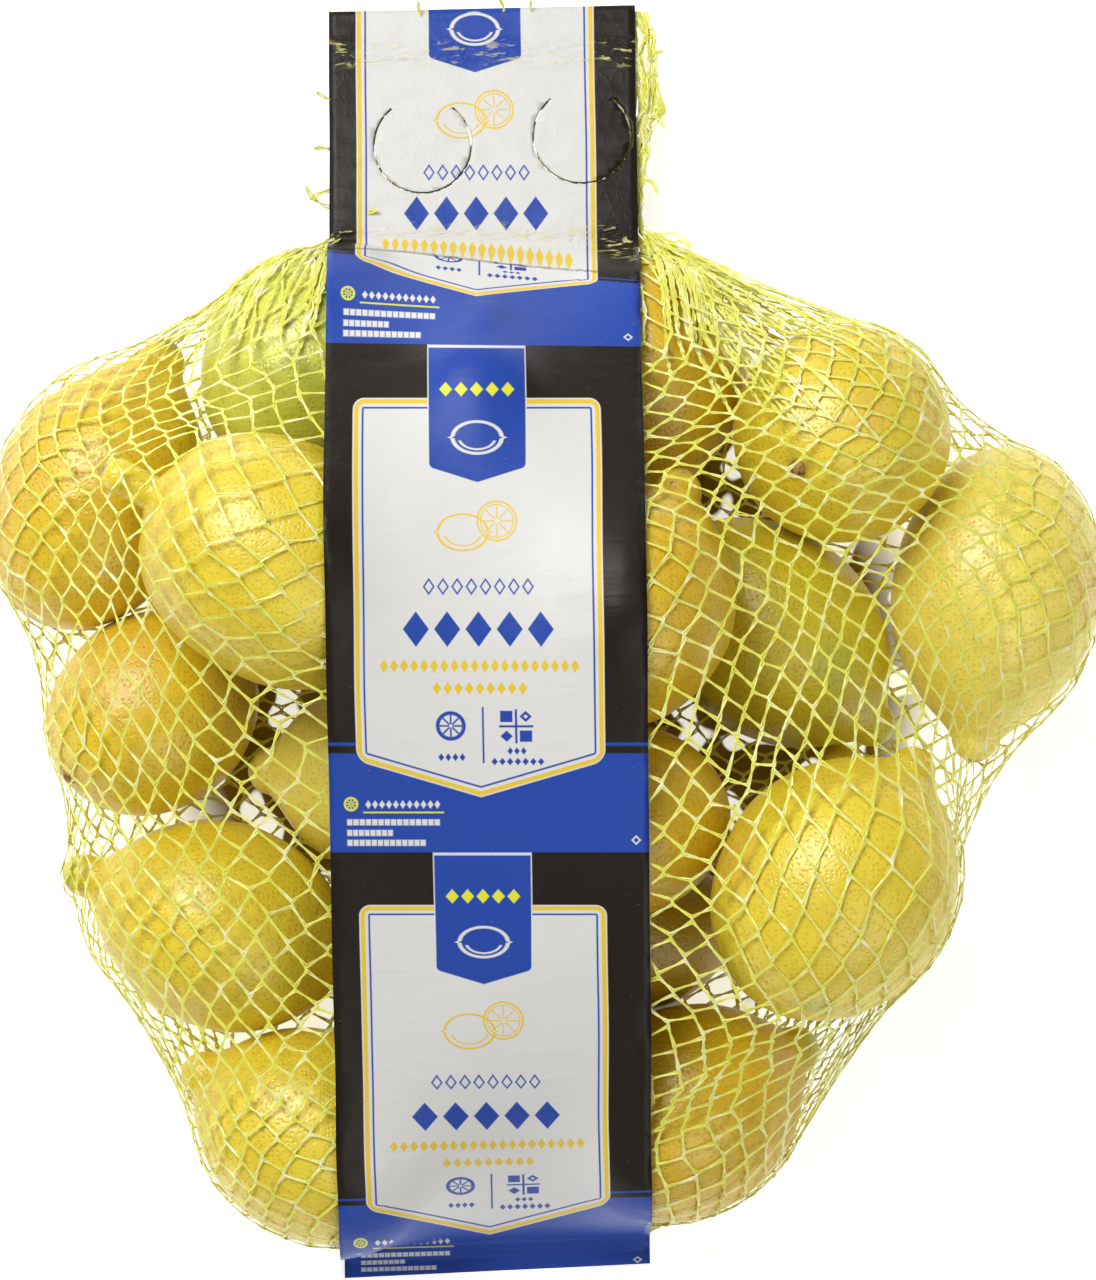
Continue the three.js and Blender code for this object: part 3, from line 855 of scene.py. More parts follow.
@dataclass
class Lemon:
    """One lemon: its middle, the way its nipple points, its size and its marks."""

    name: str
    middle: tuple[float, float, float]
    turn: float
    tilt: float
    girth: float
    length: float
    peel: Peel = Peel.RIPE
    taper: float = 1.15
    finger: float = 0.0
    blunt: bool = False
    shown: bool = True
    stem: bool = False
    spots: tuple[Spot, ...] = ()

    def __post_init__(self) -> None:
        """Works out its axis and the balls that fill it, and keeps its home."""
        turn, tilt = math.radians(self.turn), math.radians(self.tilt)
        self.axis = np.array([math.cos(turn) * math.cos(tilt), math.sin(turn) * math.cos(tilt),
                              math.sin(tilt)])
        self.up = unit(np.array([0.0, 0.0, 1.0]) - self.axis * self.axis[2])
        self.side = np.cross(self.axis, self.up)
        self.home = np.array(self.middle, float)
        self.centre = self.home.copy()

    def balls(self, shares: Sequence[float]) -> tuple[np.ndarray, np.ndarray]:
        """Balls along the axis that fill the body, and one in the nipple.

        Args:
            shares: Places of the body's balls, -1 to 1.

        Returns:
            Their places along the axis, and their radii.
        """
        half_body, half_girth = (self.length - NECK) / 2, self.girth / 2
        focus = half_body**2 - half_girth**2
        along = np.array(shares) * focus / half_body
        radii = half_girth * np.sqrt(1 - along**2 / focus)
        return (np.append(along - NECK / 2, self.length / 2 - NIPPLE_RADIUS),
                np.append(radii, NIPPLE_RADIUS))

    def radius(self, place: np.ndarray) -> np.ndarray:
        """Radius of the peel at places along the axis."""
        neck = NECK + self.finger
        half_body = (self.length - neck) / 2
        share = np.clip((place + neck / 2) / half_body, -1, 1)
        body = self.girth / 2 * np.sqrt(1 - share**2) ** np.where(share > 0, self.taper, 1.0)
        if self.blunt:
            return body
        width = NIPPLE_RADIUS - self.finger * 0.22
        beyond = np.clip(place - (self.length / 2 - width), 0, width)
        nipple = np.sqrt(width**2 - beyond**2)
        fillet = NIPPLE_FILLET * nipple / width * (share > 0) + 1e-6
        blend = np.maximum(fillet - np.abs(body - nipple), 0) / fillet
        joined = np.maximum(body, nipple) + blend**2 * fillet / 4
        return np.where(share > 0, joined, body)

    def surface(self, along: int, around: int) -> np.ndarray:
        """Points of the peel in rings from the stem's end to the nipple's.

        Args:
            along: How many rings.
            around: Points in each ring.

        Returns:
            The points, one row for each ring.
        """
        sweep = np.linspace(0, math.pi, along)
        reach = self.length - (NECK if self.blunt else 0)
        place = reach * (1 - np.cos(sweep)) / 2 - self.length / 2
        turn = np.linspace(0, 2 * math.pi, around, endpoint=False)
        offset = sum(self.home) * 0.37
        ring = np.cos(turn)[:, None] * self.up + np.sin(turn)[:, None] * self.side
        points = place[:, None, None] * self.axis + self.radius(place)[:, None, None] * ring
        share = (place / (self.length / 2))[:, None]
        relief = sum(noise_at(points, size, offset) * height for size, height in LUMPS) - MEAN_LUMP
        relief = relief + sum(
            np.cos(turn * count + offset) * np.exp(-((share - middle) / spread) ** 2) * height
            for count, middle, spread, height in RIBS)
        edge = np.sin(sweep)[:, None] ** 0.5
        outward = unit(points + self.axis * (NECK / 2 - place[:, None, None] * 0.45))
        return points + outward * (relief * edge)[..., None] + self.centre

    def stains(self, points: np.ndarray) -> np.ndarray:
        """How strongly each point is stained, one column for each kind of stain."""
        found = np.zeros(points.shape[:-1] + (4,))
        found[..., 3] = 1
        for spot in self.spots:
            place = spot.along * self.length / 2
            turn = math.radians(spot.around)
            radius = float(self.radius(np.array([place]))[0])
            middle = self.centre + self.axis * place + radius * (
                math.cos(turn) * self.up + math.sin(turn) * self.side)
            near = 1 - np.linalg.norm(points - middle, axis=-1) / spot.reach
            channel = spot.stain.value
            found[..., channel] = np.maximum(found[..., channel], smoothstep(near, 0.0, 0.6))
        return found


GREEN, BROWN, BLUSH = Stain
LEMONS: tuple[Lemon, ...] = (
    Lemon("left_top", (-118, 42, 30), 65, 0, 57, 84, Peel.RIPE, 1.5,
          spots=(Spot(BROWN, 1, 0, 6), Spot(BROWN, -1, 0, 6), Spot(BLUSH, -0.2, -50, 16))),
    Lemon("left_mid", (-104, -17, 28), 38, -22, 54, 68, Peel.RIPE, stem=True,
          spots=(Spot(BLUSH, -0.3, -40, 20), Spot(BLUSH, 0.3, 30, 16))),
    Lemon("left_low", (-93, -75, 30), 160, 0, 57, 80, Peel.PALE, 1.3, finger=3.0,
          spots=(Spot(GREEN, 1, 0, 11), Spot(GREEN, 0.5, 90, 10))),
    Lemon("foot_left", (-61, -128, 30), 152, 0, 57, 76, Peel.PALE),
    Lemon("green", (-64, 76, 31), 65, 0, 57, 70, Peel.GREEN, blunt=True,
          spots=(Spot(GREEN, 0.4, 40, 26), Spot(GREEN, -0.4, 0, 16), Spot(BROWN, 0.15, -20, 3))),
    Lemon("top_right", (27, 74, 30), 80, 10, 55, 70, Peel.GOLDEN, blunt=True),
    Lemon("right_far", (119, 10, 30), 262, 0, 57, 86, Peel.BRIGHT, 1.3,
          spots=(Spot(BROWN, 1, 0, 4), Spot(BLUSH, -0.2, -60, 12))),
    Lemon("olive", (66, -3, 30), 318, 0, 56, 78, Peel.OLIVE,
          spots=(Spot(GREEN, 0.35, -10, 10), Spot(GREEN, 1, 0, 10))),
    # foot_right, right_hidden and mid_front take the golden tone partly as painted shade from the band's
    # hump.
    Lemon("foot_right", (37, -120, 31), 29, 0, 57, 76, Peel.GOLDEN,
          spots=(Spot(GREEN, 1, 0, 11),)),
    Lemon("under_right", (85, -50, 25), 110, 0, 42, 58, Peel.PALE),
    Lemon("left_hidden", (-43, -36, 28), 178, 0, 53, 66, Peel.BRIGHT),
    Lemon("right_hidden", (14, -46, 58), 185, 0, 53, 70, Peel.GOLDEN),
    Lemon("mid_hidden", (-14, 11, 29), 70, 0, 54, 66, shown=False),
    Lemon("low_hidden", (-25, -89, 27), 90, 0, 50, 66, shown=False),
    Lemon("shaded", (25, -83, 23), 10, 0, 44, 58, Peel.DEEP, shown=False),
    Lemon("right_top", (79, 53, 46), 38, -58, 59, 68, Peel.PALE, stem=True,
          spots=(Spot(BROWN, -1, 0, 4), Spot(BLUSH, -0.7, 0, 10))),
    Lemon("top_hidden", (-18, 58, 50), 85, 0, 50, 58, blunt=True, shown=False),
    Lemon("left_front", (-77, 24, 70), 152, 6, 65, 92, Peel.PALE, 0.8, finger=9.0,
          spots=(Spot(BLUSH, 0.3, -60, 10), Spot(BROWN, 1, 0, 3))),
    Lemon("mid_front", (23, 8, 70), 68, 0, 55, 72, Peel.GOLDEN,
          spots=(Spot(GREEN, 0.1, -60, 12),)),
    Lemon("right_front", (77.5, -62.5, 74), 57, 0, 63.5, 80, Peel.PALE,
          spots=(Spot(BLUSH, -0.3, -60, 12), Spot(GREEN, -0.8, 40, 6))),
)


@dataclass(frozen=True)
class Shell:
    """A closed shape of rings of points, with a pole before the first ring and one after the last."""

    rings: np.ndarray
    first: np.ndarray
    last: np.ndarray

    def cloud(self) -> np.ndarray:
        """All its points: the rings', then the poles."""
        return np.concatenate([self.rings.reshape(-1, 3), self.first[None], self.last[None]])

    def faces(self, start: int) -> list[tuple[int, ...]]:
        """Its faces, turned outwards for rings that run anticlockwise along their axis.

        Args:
            start: Number of its first vertex.

        Returns:
            Vertex numbers of each face.
        """
        rings, around = self.rings.shape[:2]
        last_ring, first_pole = start + (rings - 1) * around, start + rings * around
        faces: list[tuple[int, ...]] = []
        for column in range(around):
            after = (column + 1) % around
            faces.append((first_pole, start + after, start + column))
            faces.append((first_pole + 1, last_ring + column, last_ring + after))
            for low in range(start, last_ring, around):
                faces.append((low + column, low + after, low + around + after, low + around + column))
        return faces


def shell_piece(name: str, shells: Sequence[Shell], material: Material) -> Object:
    """Makes one piece of some shells.

    Args:
        name: The piece's name.
        shells: The shells.
        material: Its finish.

    Returns:
        The piece.
    """
    clouds = [shell.cloud() for shell in shells]
    faces: list[tuple[int, ...]] = []
    start = 0
    for shell, cloud in zip(shells, clouds):
        faces.extend(shell.faces(start))
        start += len(cloud)
    return new_piece(name, np.concatenate(clouds), faces, material)


@dataclass
class Heap:
    """The lemons, let down until they lie on the ground and on each other."""

    lemons: tuple[Lemon, ...] = LEMONS
    ground: float = 1.6
    passes: int = 240
    fall: float = 0.2
    hold: float = 0.06
    reach: float = 90.0
    shown_rings: tuple[int, int] = (60, 90)
    hidden_rings: tuple[int, int] = (30, 44)
    body_shares: tuple[float, ...] = (-1, -0.5, 0, 0.5, 1)
    ball_count: int = 11
    button_rings: int = 5
    button_around: int = 30
    button_lobes: int = 5
    button_radius: float = 2.6
    button_height: float = 1.3

    def settle(self) -> None:
        """Moves each lemon from its home to its place in the heap."""
        balls = [lemon.balls(self.body_shares) for lemon in self.lemons]
        for step in range(self.passes):
            for lemon in self.lemons:
                lemon.centre[:2] += self.hold * (lemon.home[:2] - lemon.centre[:2])
                lemon.centre[2] -= self.fall * (1 - step / self.passes)
            for index, lemon in enumerate(self.lemons):
                for other_index in range(index):
                    self.part(lemon, balls[index], self.lemons[other_index], balls[other_index])
            for lemon, (along, radii) in zip(self.lemons, balls):
                lowest = (lemon.centre[2] + lemon.axis[2] * along - radii).min()
                lemon.centre[2] += max(0.0, self.ground - lowest)

    def part(self, lemon: Lemon, own: tuple, other: Lemon, others: tuple) -> None:
        """Pushes two lemons apart at their deepest overlap.

        Args:
            lemon: The first lemon.
            own: Its balls.
            other: The second lemon.
            others: That one's balls.
        """
        if np.linalg.norm(lemon.centre - other.centre) > self.reach:
            return
        first = lemon.centre + own[0][:, None] * lemon.axis
        second = other.centre + others[0][:, None] * other.axis
        apart = first[:, None] - second[None]
        gap = np.linalg.norm(apart, axis=-1)
        overlap = own[1][:, None] + others[1][None] - gap
        deepest = np.unravel_index(np.argmax(overlap), overlap.shape)
        if overlap[deepest] > 0:
            push = apart[deepest] / gap[deepest] * overlap[deepest] / 2
            lemon.centre += push
            other.centre -= push

    def all_balls(self) -> tuple[np.ndarray, np.ndarray]:
        """Middles and radii of enough balls to stand for every lemon's surface."""
        middles, radii = [], []
        for lemon in self.lemons:
            along, radius = lemon.balls(np.linspace(-1, 1, self.ball_count))
            middles.append(lemon.centre + along[:, None] * lemon.axis)
            radii.append(radius)
        return np.concatenate(middles), np.concatenate(radii)

    def build(self, name: str, lemons: Sequence[Lemon], material: Material) -> Object:
        """Makes lemons of one kind as one piece.

        Args:
            name: The piece's name.
            lemons: Which lemons.
            material: Their peel.

        Returns:
            The piece.
        """
        shells, tones, stains = [], [], []
        for lemon in lemons:
            rings = lemon.surface(*(self.shown_rings if lemon.shown else self.hidden_rings))
            shell = Shell(rings[1:-1], rings[0].mean(0), rings[-1].mean(0))
            cloud = shell.cloud()
            shells.append(shell)
            tones.append(np.tile(lemon.peel.value, (len(cloud), 1)))
            stains.append(lemon.stains(cloud))
        piece = shell_piece(name, shells, material)
        paint(piece, "tone", np.concatenate(tones))
        paint(piece, "stain", np.concatenate(stains))
        return piece

    def buttons(self, name: str, material: Material) -> Object:
        """Makes the dry stem buttons that show.

        Args:
            name: The piece's name.
            material: Their finish.

        Returns:
            The piece.
        """
        share = np.linspace(0, 1, self.button_rings + 1)[1:, None, None]
        turn = np.linspace(0, 2 * math.pi, self.button_around, endpoint=False)[None, :, None]
        radius = self.button_radius * share * (1 + 0.2 * np.cos(self.button_lobes * turn) * share)
        lift = self.button_height * np.sqrt(1 - (share * 0.98) ** 2) - 0.9 * share**2
        shells = []
        for lemon in self.lemons:
            if lemon.stem:
                ring = np.cos(turn) * lemon.up + np.sin(turn) * lemon.side
                foot = lemon.centre - lemon.axis * (lemon.length / 2 - 0.4)
                cloud = foot + radius * ring - lift * lemon.axis
                top = foot - lemon.axis * self.button_height
                shells.append(Shell(cloud, top, foot + lemon.axis * 1.5))
        return shell_piece(name, shells, material)


# ---- The pack's own lines ----


@dataclass(frozen=True)
class Band:
    """Lines that the films and the net's flat ends keep to."""

    width: float = 83.5
    middle_x: float = -16.0
    slant: float = -0.0125
    film: float = 0.6
    gap: float = 0.3
    head_end: float = 172.5
    head_base: float = 107.0
    head_base_height: float = 18.0
    tongue_end: float = 171.0
    tongue_half_base: float = 2.5
    tongue_half_end: float = 0.7
    tongue_left: float = 41.0
    tongue_right: float = 46.0
    back_rise: float = 80.0
    foot_weld: float = -164.0
    foot_flat: float = -168.0
    foot_end: float = -172.5
    net_ground: float = 1.0
    ground_reach: tuple[float, float] = (50.0, 62.0)
    grips: tuple[tuple[float, float], ...] = ((-34.1, 134.4), (9.2, 137.1))
    grip_radius: float = 13.2
    grip_hinge: tuple[float, float] = (52.0, 130.0)

    def middle(self, y: Any) -> Any:
        """The band's middle line at a place along the pack."""
        return self.middle_x + self.slant * y

    def along_head(self, y: Any) -> Any:
        """How far a place is along the head, 0 at its base and 1 at its free end."""
        return (y - self.head_base) / (self.head_end - self.head_base)

    def tongue_half(self, y: Any) -> Any:
        """Half the thickness of the gathered net in the head."""
        return self.tongue_half_base + (self.tongue_half_end - self.tongue_half_base) * self.along_head(y)

    def tongue_middle(self, y: Any) -> Any:
        """Middle height of the gathered net in the head."""
        end = self.film + self.gap + self.tongue_half_end
        return self.head_base_height + (end - self.head_base_height) * self.along_head(y)

    def back_height(self, y: np.ndarray) -> np.ndarray:
        """Middle height of the back film."""
        stack = self.film / 2 + self.gap
        crest = self.tongue_middle(self.head_base) - self.tongue_half_base - stack
        rise = np.clip((y - self.back_rise) / (self.head_base - self.back_rise), 0, 1)
        low = self.film / 2 + (crest - self.film / 2) * rise**2
        return np.where(y >= self.head_base, self.tongue_middle(y) - self.tongue_half(y) - stack, low)

    def front_height(self, y: np.ndarray) -> np.ndarray:
        """Middle height of the front film where it is held."""
        stack = self.film / 2 + self.gap
        flat = self.film * 1.5 + self.gap
        over_weld = self.net_ground + self.tongue_half_end * 4 + stack
        foot = flat + (over_weld - flat) * smoothstep(y, self.foot_flat, self.foot_weld)
        return np.where(y >= self.head_base, self.tongue_middle(y) + self.tongue_half(y) + stack, foot)

    def ground(self, x: np.ndarray, y: np.ndarray) -> np.ndarray:
        """The lowest that the net can lie."""
        over_film = self.net_ground + self.back_height(y) - self.film / 2
        return over_film * (1 - smoothstep(np.abs(x - self.middle(y)), *self.ground_reach))


BAND = Band()
# First and last place of each weld along the print.
FRONT_WELDS = ((-105.8, -99.3), (-55.3, -51.3))
BACK_WELDS = ((-108, -103),)
# Number of the first strand of the gathers and of the wisps, past those of the net.
LOOSE_STRANDS = 900


def frame_shift() -> np.ndarray:
    """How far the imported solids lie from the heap's own middle, in millimetres."""
    low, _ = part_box("film_back")
    left_edge = BAND.middle(BAND.head_end) - BAND.width / 2
    return np.array([low.x / MM - left_edge, low.y / MM - BAND.foot_end, 0.0])


SHIFT = frame_shift()


# ---- Making pieces ----


def new_piece(name: str, points: np.ndarray, faces: Sequence[Sequence[int]],
              material: Material | None = None, edges: Sequence[Sequence[int]] = ()) -> Object:
    """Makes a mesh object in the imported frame.

    Args:
        name: The piece's name.
        points: Vertices in millimetres from the heap's middle.
        faces: Vertex numbers of each face.
        material: Its finish.
        edges: Vertex numbers of loose edges.

    Returns:
        The object.
    """
    mesh = bpy.data.meshes.new(name)
    mesh.from_pydata(((points + SHIFT) * MM).tolist(), edges, faces)
    mesh.shade_smooth()
    if material is not None:
        mesh.materials.append(material)
    return placed(name, mesh)


def placed(name: str, data: bpy.types.ID) -> Object:
    """Makes an object of a mesh, a light or a camera in the scene."""
    item = bpy.data.objects.new(name, data)
    bpy.context.scene.collection.objects.link(item)
    return item


def paint(piece: Object, name: str, values: np.ndarray, kind: str = "FLOAT_COLOR") -> None:
    """Gives a piece's vertices an attribute.

    Args:
        piece: The piece.
        name: The attribute's name.
        values: Its value for each vertex.
        kind: Its type, a colour, a vector or a single number.
    """
    key = {"FLOAT_COLOR": "color", "FLOAT_VECTOR": "vector", "FLOAT": "value"}[kind]
    layer = piece.data.attributes.new(name, kind, "POINT")
    layer.data.foreach_set(key, np.ascontiguousarray(values, np.float32).ravel())


def hand_over(piece: Object, slot: str, *nodes: str) -> None:
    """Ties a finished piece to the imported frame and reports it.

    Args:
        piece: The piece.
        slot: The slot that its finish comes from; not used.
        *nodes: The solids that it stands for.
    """
    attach(piece, "root")
    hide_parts(*nodes)
    triangles = sum(len(face.vertices) - 2 for face in piece.data.polygons)
    logger.info("%s: %d vertices, %d triangles", piece.name, len(piece.data.vertices), triangles)


# ---- The net ----


class Lean(Enum):
    """The two families of strands, by the way they wind round the tube."""

    RISING = 1
    FALLING = -1


@dataclass
class Net:
    """A knitted tube of diamond cells, drawn tight over the heap and gathered into the head."""

    heap: Heap
    half_columns: int = 136
    rows: int = 62
    tongue_rows: int = 10
    inset: float = 1.5
    clearance: float = 0.4
    joint: float = 0.7
    half_width: float = 185.0
    half_height: float = 64.0
    middle_height: float = 56.0
    passes: int = 700
    unevenness: float = 0.5
    slackening: float = 0.75
    slack_from: float = 0.7
    fullness: float = 0.4
    right_edge: tuple[tuple[float, float], ...] = (
        (108.0, 42.8), (116.0, 43.0), (131.0, 44.2), (144.0, 47.6), (155.0, 48.0), (171.0, 45.6))
    raggedness: float = 0.8
    jitter: float = 0.5
    tongue_fill: float = 0.85
    roof_from: float = 4.0
    roof_gap: float = 1.0
    steps: int = 2
    knots: np.ndarray = field(init=False)
    normals: np.ndarray = field(init=False)

    def angle(self, row: int) -> np.ndarray:
        """Angles of a row's knots round the tube."""
        columns = 2 * np.arange(self.half_columns // 2) + row % 2
        return 2 * math.pi * columns / self.half_columns

    def slack(self) -> np.ndarray:
        """Knots of the slack tube between its flat mouths at the foot and at the head."""
        rows = []
        for row in range(self.rows + 1):
            angle = self.angle(row)
            share = row / self.rows
            y = BAND.foot_weld + self.inset + share * (
                BAND.head_base - BAND.foot_weld - 2 * self.inset)
            swell = max(0.0, math.sin(math.pi * share)) ** self.fullness
            upper = row >= self.rows / 2
            flat_half = BAND.tongue_half_end * 2
            mouth = BAND.tongue_middle(BAND.head_base) if upper else BAND.net_ground + flat_half
            half = BAND.tongue_half_base if upper else flat_half
            reach = np.where((np.cos(angle) > 0) & upper, BAND.tongue_right, BAND.tongue_left)
            rows.append(np.stack([
                BAND.middle(y) * (1 - swell) + np.cos(angle) * (reach + (self.half_width - reach) * swell),
                np.full_like(angle, y),
                mouth + (self.middle_height - mouth) * swell
                + np.sin(angle) * (half + (self.half_height - half) * swell),
            ], axis=1))
        return np.stack(rows)

    def neighbours(self, knots: np.ndarray) -> list[np.ndarray]:
        """The four knots that each inner row's knots are tied to."""
        found = []
        for step in (1, -1):
            for side in (0, 1):
                rows = []
                for row in range(1, self.rows):
                    shift = -side if row % 2 else side
                    rows.append(np.roll(knots[row + step], shift, axis=0))
                found.append(np.stack(rows))
        return found

    def push_out(self, points: np.ndarray, balls: tuple[np.ndarray, np.ndarray],
                 clearance: float) -> np.ndarray:
        """Moves points out of the lemons and off the ground.

        Args:
            points: The points.
            balls: Middles and radii of the balls that fill the lemons.
            clearance: How far off the peel the points stay.

        Returns:
            The moved points.
        """
        flat = points.reshape(-1, 3)
        middles, radii = balls
        squared = (flat**2).sum(1)[:, None] + (middles**2).sum(1) - 2 * flat @ middles.T
        depth = np.sqrt(np.maximum(squared, 0)) - (radii + clearance)
        nearest = depth.argmin(1)
        deep = depth[np.arange(len(flat)), nearest]
        away = unit(flat - middles[nearest])
        moved = flat - away * np.minimum(deep, 0)[:, None]
        moved[:, 2] = np.maximum(moved[:, 2], BAND.ground(moved[:, 0], moved[:, 1]))
        return moved.reshape(points.shape)

    def tie(self) -> None:
        """Draws the slack tube tight and adds the gathered net in the head."""
        balls = self.heap.all_balls()
        knots = self.slack()
        seed = np.random.default_rng(7)
        shape = (self.rows - 1, self.half_columns // 2, 1)
        stiffness = [1 + self.unevenness * seed.uniform(-1, 1, shape) for _ in range(4)]
        share = (np.arange(1, self.rows)[:, None, None] + np.array([0.5, 0.5, -0.5, -0.5])) / self.rows
        looser = 1 - self.slackening * smoothstep(share, self.slack_from, 1)
        stiffness = [stiff * looser[..., step:step + 1] for step, stiff in enumerate(stiffness)]
        for _ in range(self.passes):
            pulled, total = 0.0, 0.0
            for neighbour, stiff in zip(self.neighbours(knots), stiffness):
                weight = np.linalg.norm(neighbour - knots[1:-1], axis=-1, keepdims=True) * stiff
                pulled = pulled + neighbour * weight
                total = total + weight
            knots[1:-1] = self.push_out((knots[1:-1] + pulled / total) / 2, balls, self.clearance)
        self.knots = np.concatenate([knots, self.tongue()])
        self.normals = self.knot_normals()

    def tongue(self) -> np.ndarray:
        """Knots of the gathered net in the head."""
        rows = []
        seed = np.random.default_rng(11)
        for step in range(1, self.tongue_rows + 1):
            angle = self.angle(self.rows + step)
            y = BAND.head_base - self.inset + (
                BAND.tongue_end - BAND.head_base + self.inset) * step / self.tongue_rows
            outer = np.cos(angle) > 0.8
            right = np.interp(y, *zip(*self.right_edge)) - self.raggedness * (step % 3)
            reach = np.where(np.cos(angle) > 0, right, BAND.tongue_left)
            jitter = seed.normal(0, self.jitter, (len(angle), 2)) * np.where(outer, 2.0, 1.0)[:, None]
            rows.append(np.stack([
                BAND.middle(y) + np.cos(angle) * reach + jitter[:, 0] * (np.cos(angle) > -0.9),
                y + jitter[:, 1] * (step < self.tongue_rows),
                BAND.tongue_middle(y) + np.sin(angle) * BAND.tongue_half(y) * self.tongue_fill,
            ], axis=1))
        return np.stack(rows)

    def knot_normals(self) -> np.ndarray:
        """The way out of the net at each knot."""
        count = len(self.knots)
        rising = np.zeros_like(self.knots)
        falling = np.zeros_like(self.knots)
        for row in range(count):
            low, high = max(row - 1, 0), min(row + 1, count - 1)
            shift = -1 if row % 2 else 1
            beside_high = np.roll(self.knots[high], shift, axis=0)
            beside_low = np.roll(self.knots[low], shift, axis=0)
            if row % 2:
                rising[row] = beside_high - self.knots[low]
                falling[row] = self.knots[high] - beside_low
            else:
                rising[row] = self.knots[high] - beside_low
                falling[row] = beside_high - self.knots[low]
        normals = unit(np.cross(falling, rising))
        outward = self.knots - self.knots.mean(axis=1, keepdims=True)
        flip = np.sign((normals * outward).sum(-1, keepdims=True).sum(1, keepdims=True))
        return normals * flip

    def strand(self, start: int, lean: Lean) -> tuple[np.ndarray, np.ndarray]:
        """Knots and normals along one strand.

        Args:
            start: Which knot of the foot's row it starts at.
            lean: Which way it winds.

        Returns:
            Its knots and their normals, from foot to head.
        """
        rows = np.arange(len(self.knots))
        columns = (2 * start + lean.value * rows) % self.half_columns
        places = (columns - rows % 2) // 2
        return self.knots[rows, places], self.normals[rows, places]

    def lines(self, starts: Sequence[int], lean: Lean) -> tuple[np.ndarray, ...]:
        """Fine centre lines of strands.

        Args:
            starts: The strands' starting knots.
            lean: Which way they wind.

        Returns:
            Points, normals, and the count of knots along, each with one row for each strand.
        """
        balls = self.heap.all_balls()
        points, normals = [], []
        for start in starts:
            knots, ways = self.strand(start, lean)
            lengthwise = unit(np.array([0.0, 1.0, 0.0]) - ways * ways[:, 1:2]) * self.joint
            ends = np.stack([knots - lengthwise, knots + lengthwise], axis=1).reshape(-1, 3)
            points.append(through(ends, self.steps))
            normals.append(through(np.repeat(ways, 2, axis=0), self.steps))
        points, normals = np.stack(points), unit(np.stack(normals))
        inner = slice(0, self.rows * self.steps * 2)
        for _ in range(2):
            points[:, inner] = self.push_out(points[:, inner], balls, self.clearance)
        under_head = (points[..., 1] > BAND.head_base - self.roof_from) & (
            np.abs(points[..., 0] - BAND.middle(points[..., 1])) < BAND.width / 2)
        roof = BAND.front_height(np.maximum(points[..., 1], BAND.head_base)) - self.roof_gap
        points[..., 2] = np.where(under_head, np.minimum(points[..., 2], roof), points[..., 2])
        along = np.arange(points.shape[1]) / (2 * self.steps) - 0.25
        return points, normals, np.broadcast_to(along, points.shape[:2])


@dataclass(frozen=True)
class Gathers:
    """The folds that fan out from the head's two shoulders over the net."""

    count: int = 84
    points: int = 25
    clearance: float = 0.9
    nearest: float = 22.0
    farthest: float = 104.0
    steep_loss: float = 58.0
    least_slope: float = 18.0
    slope_range: float = 58.0
    left_share: float = 0.7
    facing: float = 0.15
    facing_cost: float = 400.0

    def lines(self, net: Net) -> tuple[np.ndarray, ...]:
        """Centre lines of the folds in the form that the weaver takes.

        Args:
            net: The tied net.

        Returns:
            Points, normals, and the count of knots along, each with one row for each fold.
        """
        seed = np.random.default_rng(23)
        knots, normals = (rows[1:net.rows].reshape(-1, 3) for rows in (net.knots, net.normals))
        share = np.linspace(0, 1, self.points)[:, None]
        found, ways = [], []
        for number in range(self.count):
            side = -1 if number % 3 == 0 else 1
            reach = BAND.tongue_right if side > 0 else BAND.tongue_left
            y = BAND.head_base + seed.uniform(-3, 4)
            start = np.array([BAND.middle(y) + side * (reach - seed.uniform(0, 3)), y,
                              BAND.tongue_middle(BAND.head_base) + seed.uniform(-2, 0.5)])
            away = knots - start
            length = np.hypot(away[:, 0], away[:, 1])
            slope = np.degrees(np.arctan2(-away[:, 1], side * away[:, 0]))
            steep = seed.uniform(0, 1)
            run = seed.uniform(self.nearest, self.farthest - self.steep_loss * steep)
            run = run * (1 if side > 0 else self.left_share)
            misfit = np.abs(length - run) + np.abs(slope - (self.least_slope + self.slope_range * steep))
            end = int(np.argmin(misfit + self.facing_cost * (normals[:, 2] < self.facing)))
            sag = np.array([0, 0, 1.0]) * np.sin(math.pi * share) ** 2 * seed.uniform(1, 6)
            found.append(start + (knots[end] - start) * share + sag)
            ways.append(np.array([0.0, 0.1, 1.0]) * (1 - share) + normals[end] * share)
        points = net.push_out(np.stack(found), net.heap.all_balls(), self.clearance)
        along = np.linspace(0, 8, self.points)
        return points, unit(np.stack(ways)), np.broadcast_to(along, points.shape[:2])


